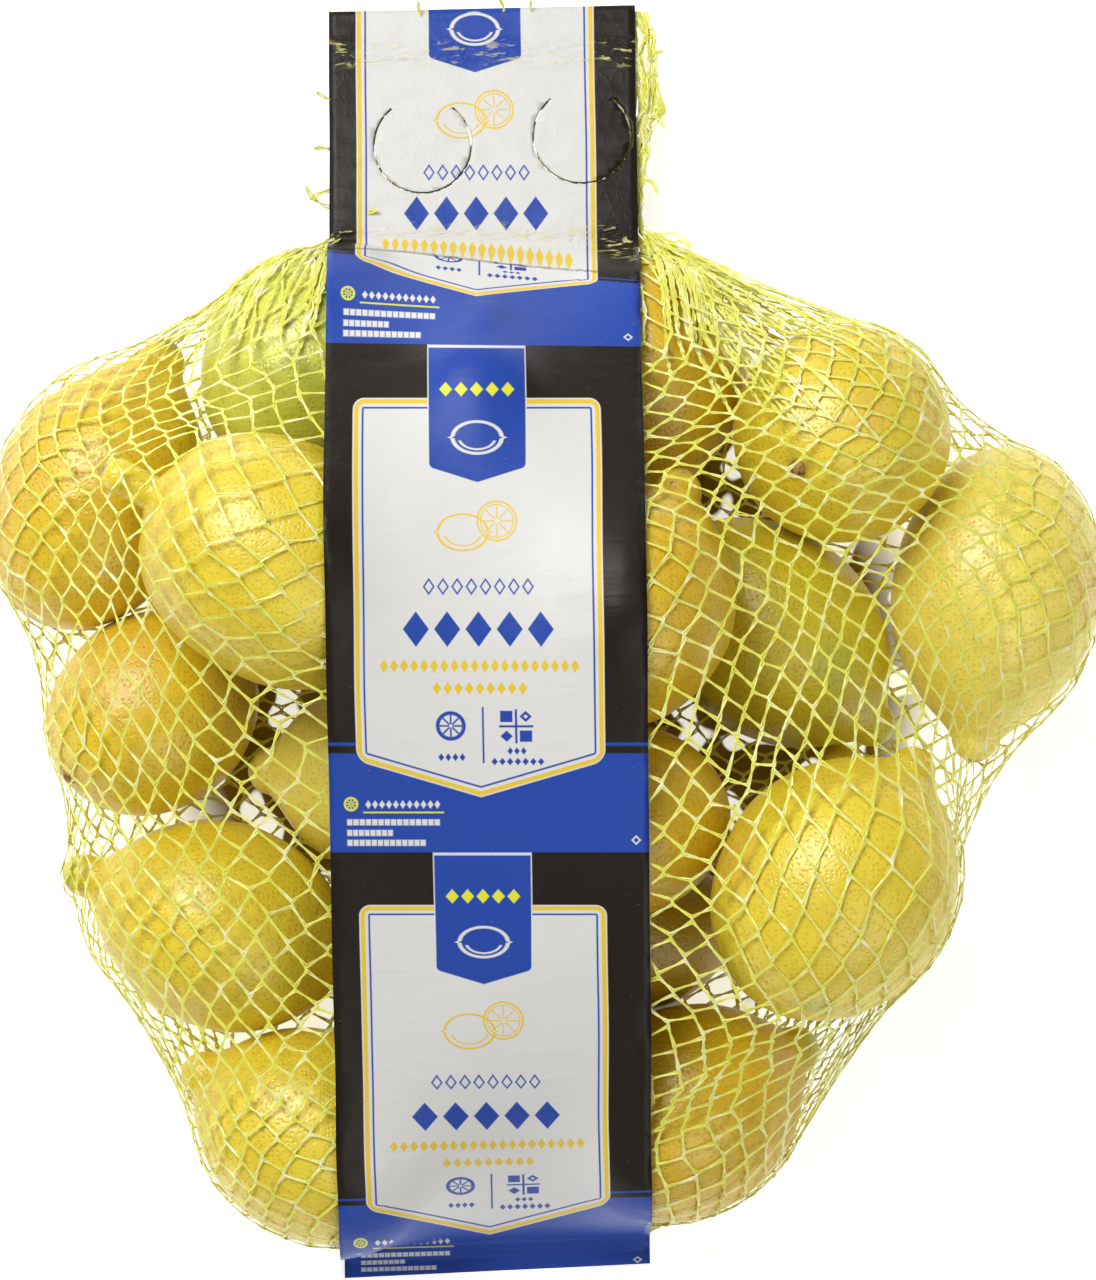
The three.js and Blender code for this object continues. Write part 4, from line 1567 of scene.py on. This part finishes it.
@dataclass
class TapeWeaver:
    """Lays flat tapes along the net's strands, by Geometry Nodes."""

    width: float = 0.52
    thickness: float = 0.1
    spread: float = 0.34
    rise: float = 0.12
    twist: float = 0.25
    swing_least: float = 0.1
    swing_chance: float = 2.2
    width_least: float = 0.7
    width_chance: float = 0.9
    second_narrower: float = 0.35
    second_higher: float = 0.1
    seed: int = 3

    def sockets(self) -> dict[str, float]:
        """Names and values of the tree's inputs."""
        return {"Width": self.width * MM, "Thickness": self.thickness * MM, "Spread": self.spread * MM,
                "Rise": self.rise * MM, "Twist": self.twist, "Seed": float(self.seed)}

    def tree(self, material: Material) -> NodeTree:
        """Builds the tree that turns centre lines into pairs of tapes.

        Args:
            material: The tapes' finish.

        Returns:
            The tree.
        """
        sockets = {"Lines": "Geometry", **dict.fromkeys(self.sockets(), "Float")}
        tree = new_group("tape_weaver", "GeometryNodeTree", sockets, {"Tapes": "Geometry"})
        graph = Graph(tree)
        given = {socket.name: socket for socket in graph.node("NodeGroupInput").outputs if socket.name}
        line = graph.node("GeometryNodeMeshToCurve", {"Mesh": given["Lines"]}).outputs[0]
        face = graph.named("face", "FLOAT_VECTOR")
        along, strand, family = (
            Field(graph, graph.named(name, "FLOAT")) for name in ("along", "strand", "family"))
        tangent = graph.node("GeometryNodeInputTangent").outputs[0]
        side = graph.vector_math("CROSS_PRODUCT", face, tangent)
        profile = graph.node("GeometryNodeCurvePrimitiveQuadrilateral", {
            "Width": given["Thickness"], "Height": given["Width"]}).outputs[0]
        tapes = []
        for tape in (0, 1):
            chance = graph.noise(
                graph.vector(strand * 7.31 + Field(graph, given["Seed"]), along * 0.9, tape * 9.7), 1.0, 1)
            turn = graph.noise(graph.vector(strand * 3.17, along * 0.8, tape * 5.3 + 40.0), 1.0, 1)
            swing = graph.math("COSINE", along * (2 * math.pi) + (chance * 3 + tape * math.pi))
            reach = swing * given["Spread"] * (chance * self.swing_chance + self.swing_least)
            sideways = graph.vector_math("SCALE", side, reach)
            over = graph.math("COSINE", along * math.pi) * family * given["Rise"]
            upward = graph.vector_math("SCALE", face, over + tape * self.second_higher * MM)
            shift = graph.vector_math("ADD", sideways, upward)
            moved = graph.node("GeometryNodeSetPosition", {"Geometry": line, "Offset": shift}).outputs[0]
            angle = (turn - 0.5) * (4 * math.pi) * given["Twist"]
            turned = graph.node("ShaderNodeVectorRotate", {
                "Vector": face, "Axis": tangent, "Angle": angle}, rotation_type="AXIS_ANGLE").outputs[0]
            flat = graph.node("GeometryNodeSetCurveNormal", {"Curve": moved, "Normal": turned},
                              mode="FREE").outputs[0]
            width = chance * self.width_chance + (self.width_least - self.second_narrower * tape)
            sized = graph.node("GeometryNodeSetCurveRadius", {"Curve": flat, "Radius": width}).outputs[0]
            tapes.append(graph.node("GeometryNodeCurveToMesh", {
                "Curve": sized, "Profile Curve": profile, "Fill Caps": True}).outputs[0])
        joined = graph.node("GeometryNodeJoinGeometry")
        for tape in tapes:
            tree.links.new(tape, joined.inputs[0])
        whole = graph.node("GeometryNodeRealizeInstances", {"Geometry": joined.outputs[0]}).outputs[0]
        dressed = graph.node("GeometryNodeSetMaterial", {"Geometry": whole, "Material": material}).outputs[0]
        smooth = graph.node("GeometryNodeSetShadeSmooth", {0: dressed, "Shade Smooth": False}).outputs[0]
        graph.node("NodeGroupOutput", {"Tapes": smooth})
        return tree

    def weave(self, name: str, lines: tuple[np.ndarray, ...], lean: Lean, tree: NodeTree,
              first: int) -> Object:
        """Makes the tapes of some strands as one piece.

        Args:
            name: The piece's name.
            lines: Points, normals and knot counts of the strands.
            lean: Which way they wind.
            tree: The tree from tree().
            first: Number of the first strand, for its chances.

        Returns:
            The piece.
        """
        points, normals, along = lines
        strands, length = points.shape[:2]
        numbers = np.arange(strands * length).reshape(strands, length)
        edges = np.stack([numbers[:, :-1].ravel(), numbers[:, 1:].ravel()], axis=1).tolist()
        source = new_piece(f"{name}_lines", points.reshape(-1, 3), [], edges=edges)
        strand = np.repeat(np.arange(strands) + first, length)
        floats = {"along": along, "strand": strand, "family": np.full(points.shape[:2], lean.value)}
        for key, values in floats.items():
            paint(source, key, values, "FLOAT")
        paint(source, "face", normals, "FLOAT_VECTOR")
        return grown(source, name, tree, self.sockets())


@dataclass(frozen=True)
class Wisps:
    """Loose ends of the net that stick out past the films' edges.

    Each runs from a place under the film to its tip, and bulges sideways between them.
    """

    height: float = 5.0
    points: int = 13
    ends: tuple[tuple[float, float, float, float, float], ...] = (
        (-56.5, 147.5, -63.0, 149.0, 1.0), (-56.5, 132.0, -63.6, 133.4, -0.8),
        (-57.0, 117.0, -65.8, 123.0, 1.6), (-57.0, 121.5, -64.5, 119.0, -1.4),
        (-52.0, 112.0, -46.0, 116.5, 1.2), (-33.5, 169.0, -35.4, 174.2, 0.6),
        (-12.0, 170.0, -13.2, 174.8, -0.5), (-4.0, 170.0, -4.6, 174.4, 0.4),
        (26.0, 107.0, 39.5, 106.5, 3.4), (27.0, 143.0, 31.6, 139.0, 1.0),
        (27.5, 157.0, 31.4, 160.5, 0.8), (26.5, 125.0, 29.4, 121.0, 0.9))

    def lines(self) -> tuple[np.ndarray, ...]:
        """Centre lines of the wisps in the form that the weaver takes."""
        share = np.linspace(0, 1, self.points)[:, None]
        points = []
        for x0, y0, x1, y1, bulge in self.ends:
            start, end = np.array([x0, y0]), np.array([x1, y1])
            sideways = np.array([y0 - y1, x1 - x0]) / np.linalg.norm(end - start)
            flat = start + (end - start) * share + sideways * bulge * np.sin(math.pi * share)
            tall = BAND.tongue_middle(np.maximum(flat[:, 1:], BAND.head_base)) + self.height * share
            points.append(np.concatenate([flat, tall], axis=1))
        points = np.stack(points)
        normals = np.broadcast_to(np.array([0.0, 0.3, 1.0]), points.shape)
        return points, normals, np.broadcast_to(share[:, 0], points.shape[:2])


def grown(source: Object, name: str, tree: NodeTree, values: dict[str, float]) -> Object:
    """Runs a Geometry Nodes tree on an object and keeps the result as a plain mesh.

    Args:
        source: The object that the tree starts from; it is removed.
        name: The new piece's name.
        tree: The tree.
        values: The tree's inputs by name.

    Returns:
        The piece.
    """
    modifier = source.modifiers.new("grow", "NODES")
    modifier.node_group = tree
    for item in tree.interface.items_tree:
        if item.item_type == "SOCKET" and item.in_out == "INPUT" and item.name in values:
            modifier[item.identifier] = values[item.name]
    graph = bpy.context.evaluated_depsgraph_get()
    mesh = bpy.data.meshes.new_from_object(source.evaluated_get(graph))
    mesh.name = name
    source.modifiers.clear()
    bpy.data.objects.remove(source)
    return placed(name, mesh)


# ---- The films ----


@dataclass
class Film:
    """A band of film as a grid of places, closed into a thin sheet."""

    thickness: float = 0.2
    head_slant: float = 0.022
    foot_slant: float = 0.048
    end_reach: float = 30.0
    cut: float = 0.5
    cutter_heights: tuple[float, float] = (-20.0, 45.0)

    def strip(self, y: np.ndarray, z: np.ndarray, columns: int) -> np.ndarray:
        """A flat-lying strip as a grid of places.

        Args:
            y: Place along the pack of each row.
            z: Height of each row.
            columns: How many points each row has.

        Returns:
            The grid.
        """
        return np.stack(np.broadcast_arrays(self.place_x(y, columns), y[:, None], z[:, None]), axis=-1)

    def place_x(self, y: np.ndarray, columns: int) -> np.ndarray:
        """Sideways places of the columns at each row."""
        share = np.linspace(-0.5, 0.5, columns)
        return BAND.middle(y)[..., None] + BAND.width * share

    def slanted(self, grid: np.ndarray) -> np.ndarray:
        """The grid with its two ends cut a little askew."""
        across = grid[..., 0] - BAND.middle(grid[..., 1])
        head = smoothstep(grid[..., 1], BAND.head_end - self.end_reach, BAND.head_end)
        foot = smoothstep(-grid[..., 1], -BAND.foot_end - self.end_reach, -BAND.foot_end)
        moved = grid.copy()
        moved[..., 1] += across * (head * self.head_slant + foot * self.foot_slant)
        return moved

    def sheet(self, name: str, grid: np.ndarray, places: np.ndarray, material: Material) -> Object:
        """Makes a thin closed sheet.

        Args:
            name: The piece's name.
            grid: Middle surface, rows from foot to head and columns from left to right.
            places: For each point of the grid, the print's place across and along, and 1 where the
                film is left without small shapes.
            material: Its finish.

        Returns:
            The piece.
        """
        across = np.gradient(grid, axis=1)
        along = np.gradient(grid, axis=0)
        normals = unit(np.cross(across, along))
        half = normals * self.thickness / 2
        points = np.concatenate([(grid + half).reshape(-1, 3), (grid - half).reshape(-1, 3)])
        rows, columns = grid.shape[:2]
        layer = rows * columns
        faces: list[tuple[int, ...]] = []
        for j in range(rows - 1):
            for i in range(columns - 1):
                a = j * columns + i
                top = (a, a + 1, a + 1 + columns, a + columns)
                faces.append(top)
                faces.append(tuple(corner + layer for corner in reversed(top)))
        border = [*range(columns - 1), *range(columns - 1, layer - columns, columns),
                  *range(layer - 1, layer - columns, -1), *range(layer - columns, 0, -columns)]
        for a, b in zip(border, border[1:] + border[:1]):
            faces.append((a, a + layer, b + layer, b))
        piece = new_piece(name, points, faces, material)
        flat = np.concatenate([places[..., :2].reshape(-1, 2)] * 2)
        corners = np.empty(len(piece.data.loops), np.int32)
        piece.data.loops.foreach_get("vertex_index", corners)
        chart = piece.data.uv_layers.new(name="print")
        chart.uv.foreach_set("vector", np.ascontiguousarray(flat[corners], np.float32).ravel())
        paint(piece, "plain", np.tile(places[..., 2].ravel(), 2), "FLOAT")
        return piece

    def cut_grips(self, piece: Object) -> None:
        """Cuts the two C-shaped grips through a sheet."""
        for place in BAND.grips:
            cutter = self.grip_cutter(place)
            modifier = piece.modifiers.new("grip", "BOOLEAN")
            modifier.operation = "DIFFERENCE"
            modifier.solver = "EXACT"
            modifier.object = cutter
            graph = bpy.context.evaluated_depsgraph_get()
            cut = bpy.data.meshes.new_from_object(piece.evaluated_get(graph))
            piece.modifiers.clear()
            piece.data = cut
            bpy.data.objects.remove(cutter)
        piece.data.name = piece.name

    def grip_cutter(self, place: tuple[float, float]) -> Object:
        """A tall wall with the outline of a C-shaped grip."""
        start, end = math.radians(BAND.grip_hinge[1]), math.radians(BAND.grip_hinge[0] + 360)
        turn = np.linspace(start, end, 60)
        points, faces = [], []
        for height in self.cutter_heights:
            for radius in (BAND.grip_radius - self.cut / 2, BAND.grip_radius + self.cut / 2):
                points.append(np.stack([
                    place[0] + radius * np.cos(turn), place[1] + radius * np.sin(turn),
                    np.full_like(turn, height)], axis=1))
        n = len(turn)
        for i in range(n - 1):
            faces += [(i, i + 1, n + i + 1, n + i), (2 * n + i, 3 * n + i, 3 * n + i + 1, 2 * n + i + 1),
                      (i, 2 * n + i, 2 * n + i + 1, i + 1), (n + i, n + i + 1, 3 * n + i + 1, 3 * n + i)]
        faces += [(0, n, 3 * n, 2 * n), (n - 1, 3 * n - 1, 4 * n - 1, 2 * n - 1)]
        return new_piece("grip_cutter", np.concatenate(points), faces)


@dataclass
class FrontFilm(Film):
    """The printed band, drawn tight over the heap from the head to the foot flap."""

    columns: int = 10
    foot_rows: int = 4
    rows: int = 56
    head_rows: int = 12
    passes: int = 700
    cross_pull: float = 0.15
    lift: float = 1.2
    slack_height: float = 125.0
    near: float = 9.0
    finer: int = 4
    eye_height: float = 1900.0
    fold: float = 47.1
    fall_from: float = -120.0
    fall_end: float = 4.0
    drawn_out: tuple[float, float] = (0.22, 0.36)
    wave_size: float = 21.0
    wave_height: float = 0.21
    crumple_size: float = 4.6
    crumple_height: float = 0.35
    weld_height: float = 0.25
    fold_height: float = 0.9
    fold_width: float = 1.3
    marks: tuple[tuple[float, float], ...] = (
        (-173.0, 253.3), (-162.6, 238.8), (-154.1, 228.1), (-142.9, 210.1), (-121.0, 183.3),
        (-72.5, 133.6), (66.2, 0.0), (80.7, -13.9), (93.9, -28.4), (100.7, -39.1), (103.4, -47.1),
        (107.3, -49.1), (172.1, -114.0))
    skews: tuple[tuple[float, float], ...] = (
        (-175.0, 0.03), (-150.0, 0.03), (-110.0, 0.0), (78.0, 0.0), (94.0, -0.07), (100.0, -0.09),
        (103.0, -0.125), (106.0, -0.125), (112.0, 0.0))

    def slack(self) -> tuple[np.ndarray, np.ndarray]:
        """The loose strip, and which of its rows are held."""
        stretches = [(BAND.foot_end, BAND.foot_weld, self.foot_rows),
                     (BAND.foot_weld, BAND.head_base, self.rows),
                     (BAND.head_base, BAND.head_end, self.head_rows)]
        y = np.concatenate([np.linspace(*stretch, endpoint=False) for stretch in stretches])
        y = np.append(y, BAND.head_end)
        held = (y <= BAND.foot_weld) | (y >= BAND.head_base)
        z = np.where(held, BAND.front_height(y), self.slack_height)
        return self.strip(y, z, self.columns + 1), held

    def off_net(self, column: np.ndarray, places: np.ndarray, normals: np.ndarray, lift: float) -> None:
        """Lifts a column's points off the net, in place.

        Args:
            column: The points.
            places: The net's points near the column.
            normals: Their normals.
            lift: Least distance from the net.
        """
        apart = column[:, None] - places[None]
        nearest = (apart**2).sum(-1).argmin(1)
        normal = normals[nearest]
        height = (apart[np.arange(len(column)), nearest] * normal).sum(-1)
        facing = np.maximum(0.3, normal[:, 1] ** 2 + normal[:, 2] ** 2)
        need = np.maximum(lift - height, 0) / facing
        column[:, 1] += normal[:, 1] * need
        column[:, 2] += normal[:, 2] * need

    def lay(self, net: Net) -> np.ndarray:
        """Draws the strip tight over the net.

        Args:
            net: The tied net.

        Returns:
            The strip's middle surface as a coarse grid.
        """
        upper = np.sin(np.stack([net.angle(row) for row in range(1, net.rows)])) >= 0
        places, normals = net.knots[1:net.rows][upper], net.normals[1:net.rows][upper]
        grid, held = self.slack()
        near = [np.abs(places[:, 0] - (BAND.middle(places[:, 1]) + BAND.width * (i / self.columns - 0.5)))
                < self.near for i in range(self.columns + 1)]
        free = np.flatnonzero(~held)
        for _ in range(self.passes):
            for parity in (0, 1):
                rows = free[free % 2 == parity]
                along = (grid[rows - 1] + grid[rows + 1]) / 2
                padded = np.pad(grid[rows], ((0, 0), (1, 1), (0, 0)), mode="edge")
                beside = (padded[:, 2:] + padded[:, :-2]) / 2
                grid[rows, :, 1:] = ((1 - self.cross_pull) * along + self.cross_pull * beside)[..., 1:]
                for i, mask in enumerate(near):
                    column = grid[rows, i]
                    self.off_net(column, places[mask], normals[mask], self.lift)
                    grid[rows, i] = column
                grid[rows, :, 0] = self.place_x(grid[rows, 0, 1], self.columns + 1)
        return grid

    def build(self, name: str, net: Net, material: Material) -> Object:
        """Makes the front film.

        Args:
            name: The piece's name.
            net: The tied net under it.
            material: Its finish.

        Returns:
            The piece.
        """
        coarse = self.lay(net)
        fine = through(coarse, self.finer)
        fine = self.slanted(through(fine.transpose(1, 0, 2), self.finer).transpose(1, 0, 2))
        places = self.print_places(fine)
        piece = self.sheet(name, self.creased(fine, places), places, material)
        self.cut_grips(piece)
        return piece

    def print_places(self, grid: np.ndarray) -> np.ndarray:
        """Where each point lies on the print: across, down the film from a panel's top, and if plain.

        The print runs level when seen from above, and skewed where the film was folded askew. Where
        that would draw it out, on the steep fall to the foot, the film has fields of colour alone.
        """
        seen = grid[..., :2] * self.eye_height / (self.eye_height - grid[..., 2:])
        off_middle = grid[..., 0] - BAND.middle(grid[..., 1])
        seen_skew, skew = zip(*self.skews)
        level = seen[..., 1] - np.interp(seen[..., 1], seen_skew, skew) * off_middle
        marks, places = zip(*self.marks)
        along = np.interp(level, marks, places)
        across = np.broadcast_to(
            np.linspace(-0.5, 0.5, grid.shape[1])[None] * BAND.width, grid.shape[:2])
        run = np.linalg.norm(np.gradient(grid, axis=0), axis=-1)
        drawn = -np.gradient(along, axis=0) / run
        falling = (grid[..., 1] < self.fall_from) & (grid[..., 2] > self.fall_end)
        plain = falling * (1 - smoothstep(drawn, *self.drawn_out))
        return np.stack([across, along, plain], axis=-1)

    def creased(self, grid: np.ndarray, places: np.ndarray) -> np.ndarray:
        """Gives the film its shallow waves, and the head's crumpled welds."""
        chart = places * np.array([1, 1, 0])
        waves = noise_at(chart * np.array([1.0, 0.7, 1.0]), self.wave_size, 3.1)
        along = places[..., 1]
        head = smoothstep(-along, 46, 58)
        fold = np.exp(-((along + self.fold) / self.fold_width) ** 2)
        crumple = noise_at(chart * np.array([0.6, 1.7, 1.0]), self.crumple_size, 9.2)
        pressed = head * (self.weld_height + self.crumple_height * crumple)
        moved = grid.copy()
        moved[..., 2] += waves * self.wave_height + pressed + fold * self.fold_height
        moved[..., 0] += noise_at(chart, 30, 17.0) * 0.25
        return moved


@dataclass
class BackFilm(Film):
    """The plain printed band under the heap."""

    rows: int = 120
    columns: int = 21
    panel_top: float = 62.7

    def build(self, name: str, material: Material) -> Object:
        """Makes the back film.

        Args:
            name: The piece's name.
            material: Its finish.

        Returns:
            The piece.
        """
        y = np.linspace(BAND.foot_end, BAND.head_end, self.rows)
        grid = self.strip(y, BAND.back_height(y), self.columns)
        across = -BAND.width * np.linspace(-0.5, 0.5, self.columns)
        places = np.stack(np.broadcast_arrays(across, (self.panel_top - y)[:, None], 0.0), axis=-1)
        piece = self.sheet(name, self.slanted(grid), places, material)
        self.cut_grips(piece)
        return piece


# ---- The studio ----


@dataclass
class Studio:
    """A pale table, soft light and a camera straight above."""

    camera_height: float = 1.9
    clip_end: float = 20.0
    focal_length: float = 195.27
    sensor: float = 36.0
    floor_half: float = 2.5
    floor_drop: float = 0.3
    sky: float = 0.21
    lights: tuple[tuple[str, tuple[float, float, float], float, float], ...] = (
        ("key", (-0.75, 0.95, 1.5), 1.1, 33.5), ("fill", (0.8, -1.2, 1.4), 1.6, 12.0))

    def build(self) -> None:
        """Makes the floor, the lights and the camera."""
        half = self.floor_half / MM
        corners = np.array([
            [x * half, y * half, -self.floor_drop] for x, y in ((-1, -1), (1, -1), (1, 1), (-1, 1))])
        new_piece("floor", corners, [(0, 1, 2, 3)], FloorFinish().material())
        for light in self.lights:
            self.light(*light)
        world = bpy.data.worlds.new("studio")
        world.use_nodes = True
        background = world.node_tree.nodes["Background"]
        background.inputs["Color"].default_value = (1, 1, 1, 1)
        background.inputs["Strength"].default_value = self.sky
        bpy.context.scene.world = world
        bpy.context.scene.view_settings.view_transform = "Standard"
        camera = bpy.data.cameras.new("camera")
        camera.lens = self.focal_length
        camera.sensor_width = self.sensor
        camera.clip_end = self.clip_end
        holder = placed("camera", camera)
        holder.location = (SHIFT[0] * MM, SHIFT[1] * MM, self.camera_height)
        bpy.context.scene.camera = holder

    def light(self, name: str, place: tuple[float, float, float], size: float, power: float) -> None:
        """Adds a square soft light that faces the heap.

        Args:
            name: The light's name.
            place: Where it hangs, in metres.
            size: Side of the square, in metres.
            power: Its power in watts.
        """
        lamp = bpy.data.lights.new(name, "AREA")
        lamp.size = size
        lamp.energy = power
        holder = placed(name, lamp)
        holder.location = place
        holder.rotation_euler = (Vector((0, 0, 0.05)) - Vector(place)).to_track_quat("-Z", "Y").to_euler()


def main() -> None:
    """Builds the pack from the heap outwards."""
    logging.basicConfig(level=logging.INFO, format="%(name)s %(message)s")
    heap = Heap()
    heap.settle()
    peel = PeelFinish().material()
    greenish = [lemon for lemon in heap.lemons if lemon.peel in (Peel.GREEN, Peel.OLIVE)]
    ripe = [lemon for lemon in heap.lemons if lemon not in greenish]
    for name, lemons in (("lemons_ripe", ripe), ("lemons_greenish", greenish)):
        hand_over(heap.build(name, lemons, peel), "lemon_peel", "net_of_lemons")
    hand_over(heap.buttons("stem_buttons", StemFinish().material()), "lemon_peel", "net_of_lemons")

    net = Net(heap)
    net.tie()
    weaver = TapeWeaver()
    tree = weaver.tree(TapeFinish().material())
    half = net.half_columns // 4
    parts = [(f"net_{lean.name.lower()}_{part + 1}", net.lines(range(part * half, (part + 1) * half), lean),
              lean, part * half + (lean.value + 1) * 50) for lean in Lean for part in (0, 1)]
    parts.append(("net_gathers", Gathers().lines(net), Lean.RISING, LOOSE_STRANDS))
    parts.append(("net_wisps", Wisps().lines(), Lean.RISING, LOOSE_STRANDS))
    for name, lines, lean, first in parts:
        hand_over(weaver.weave(name, lines, lean, tree, first), "net_tape", "net_of_lemons")

    ink = PrintFinish()
    print_group = ink.group()
    front_finish = ink.material("printed_front", print_group, 1.0, FRONT_WELDS)
    back_finish = ink.material("printed_back", print_group, 0.0, BACK_WELDS)
    hand_over(FrontFilm().build("front_film", net, front_finish), "printed_film", "film_front")
    hand_over(BackFilm().build("back_film", back_finish), "printed_film", "film_back")

    Studio().build()


if __name__ == "__main__":
    main()
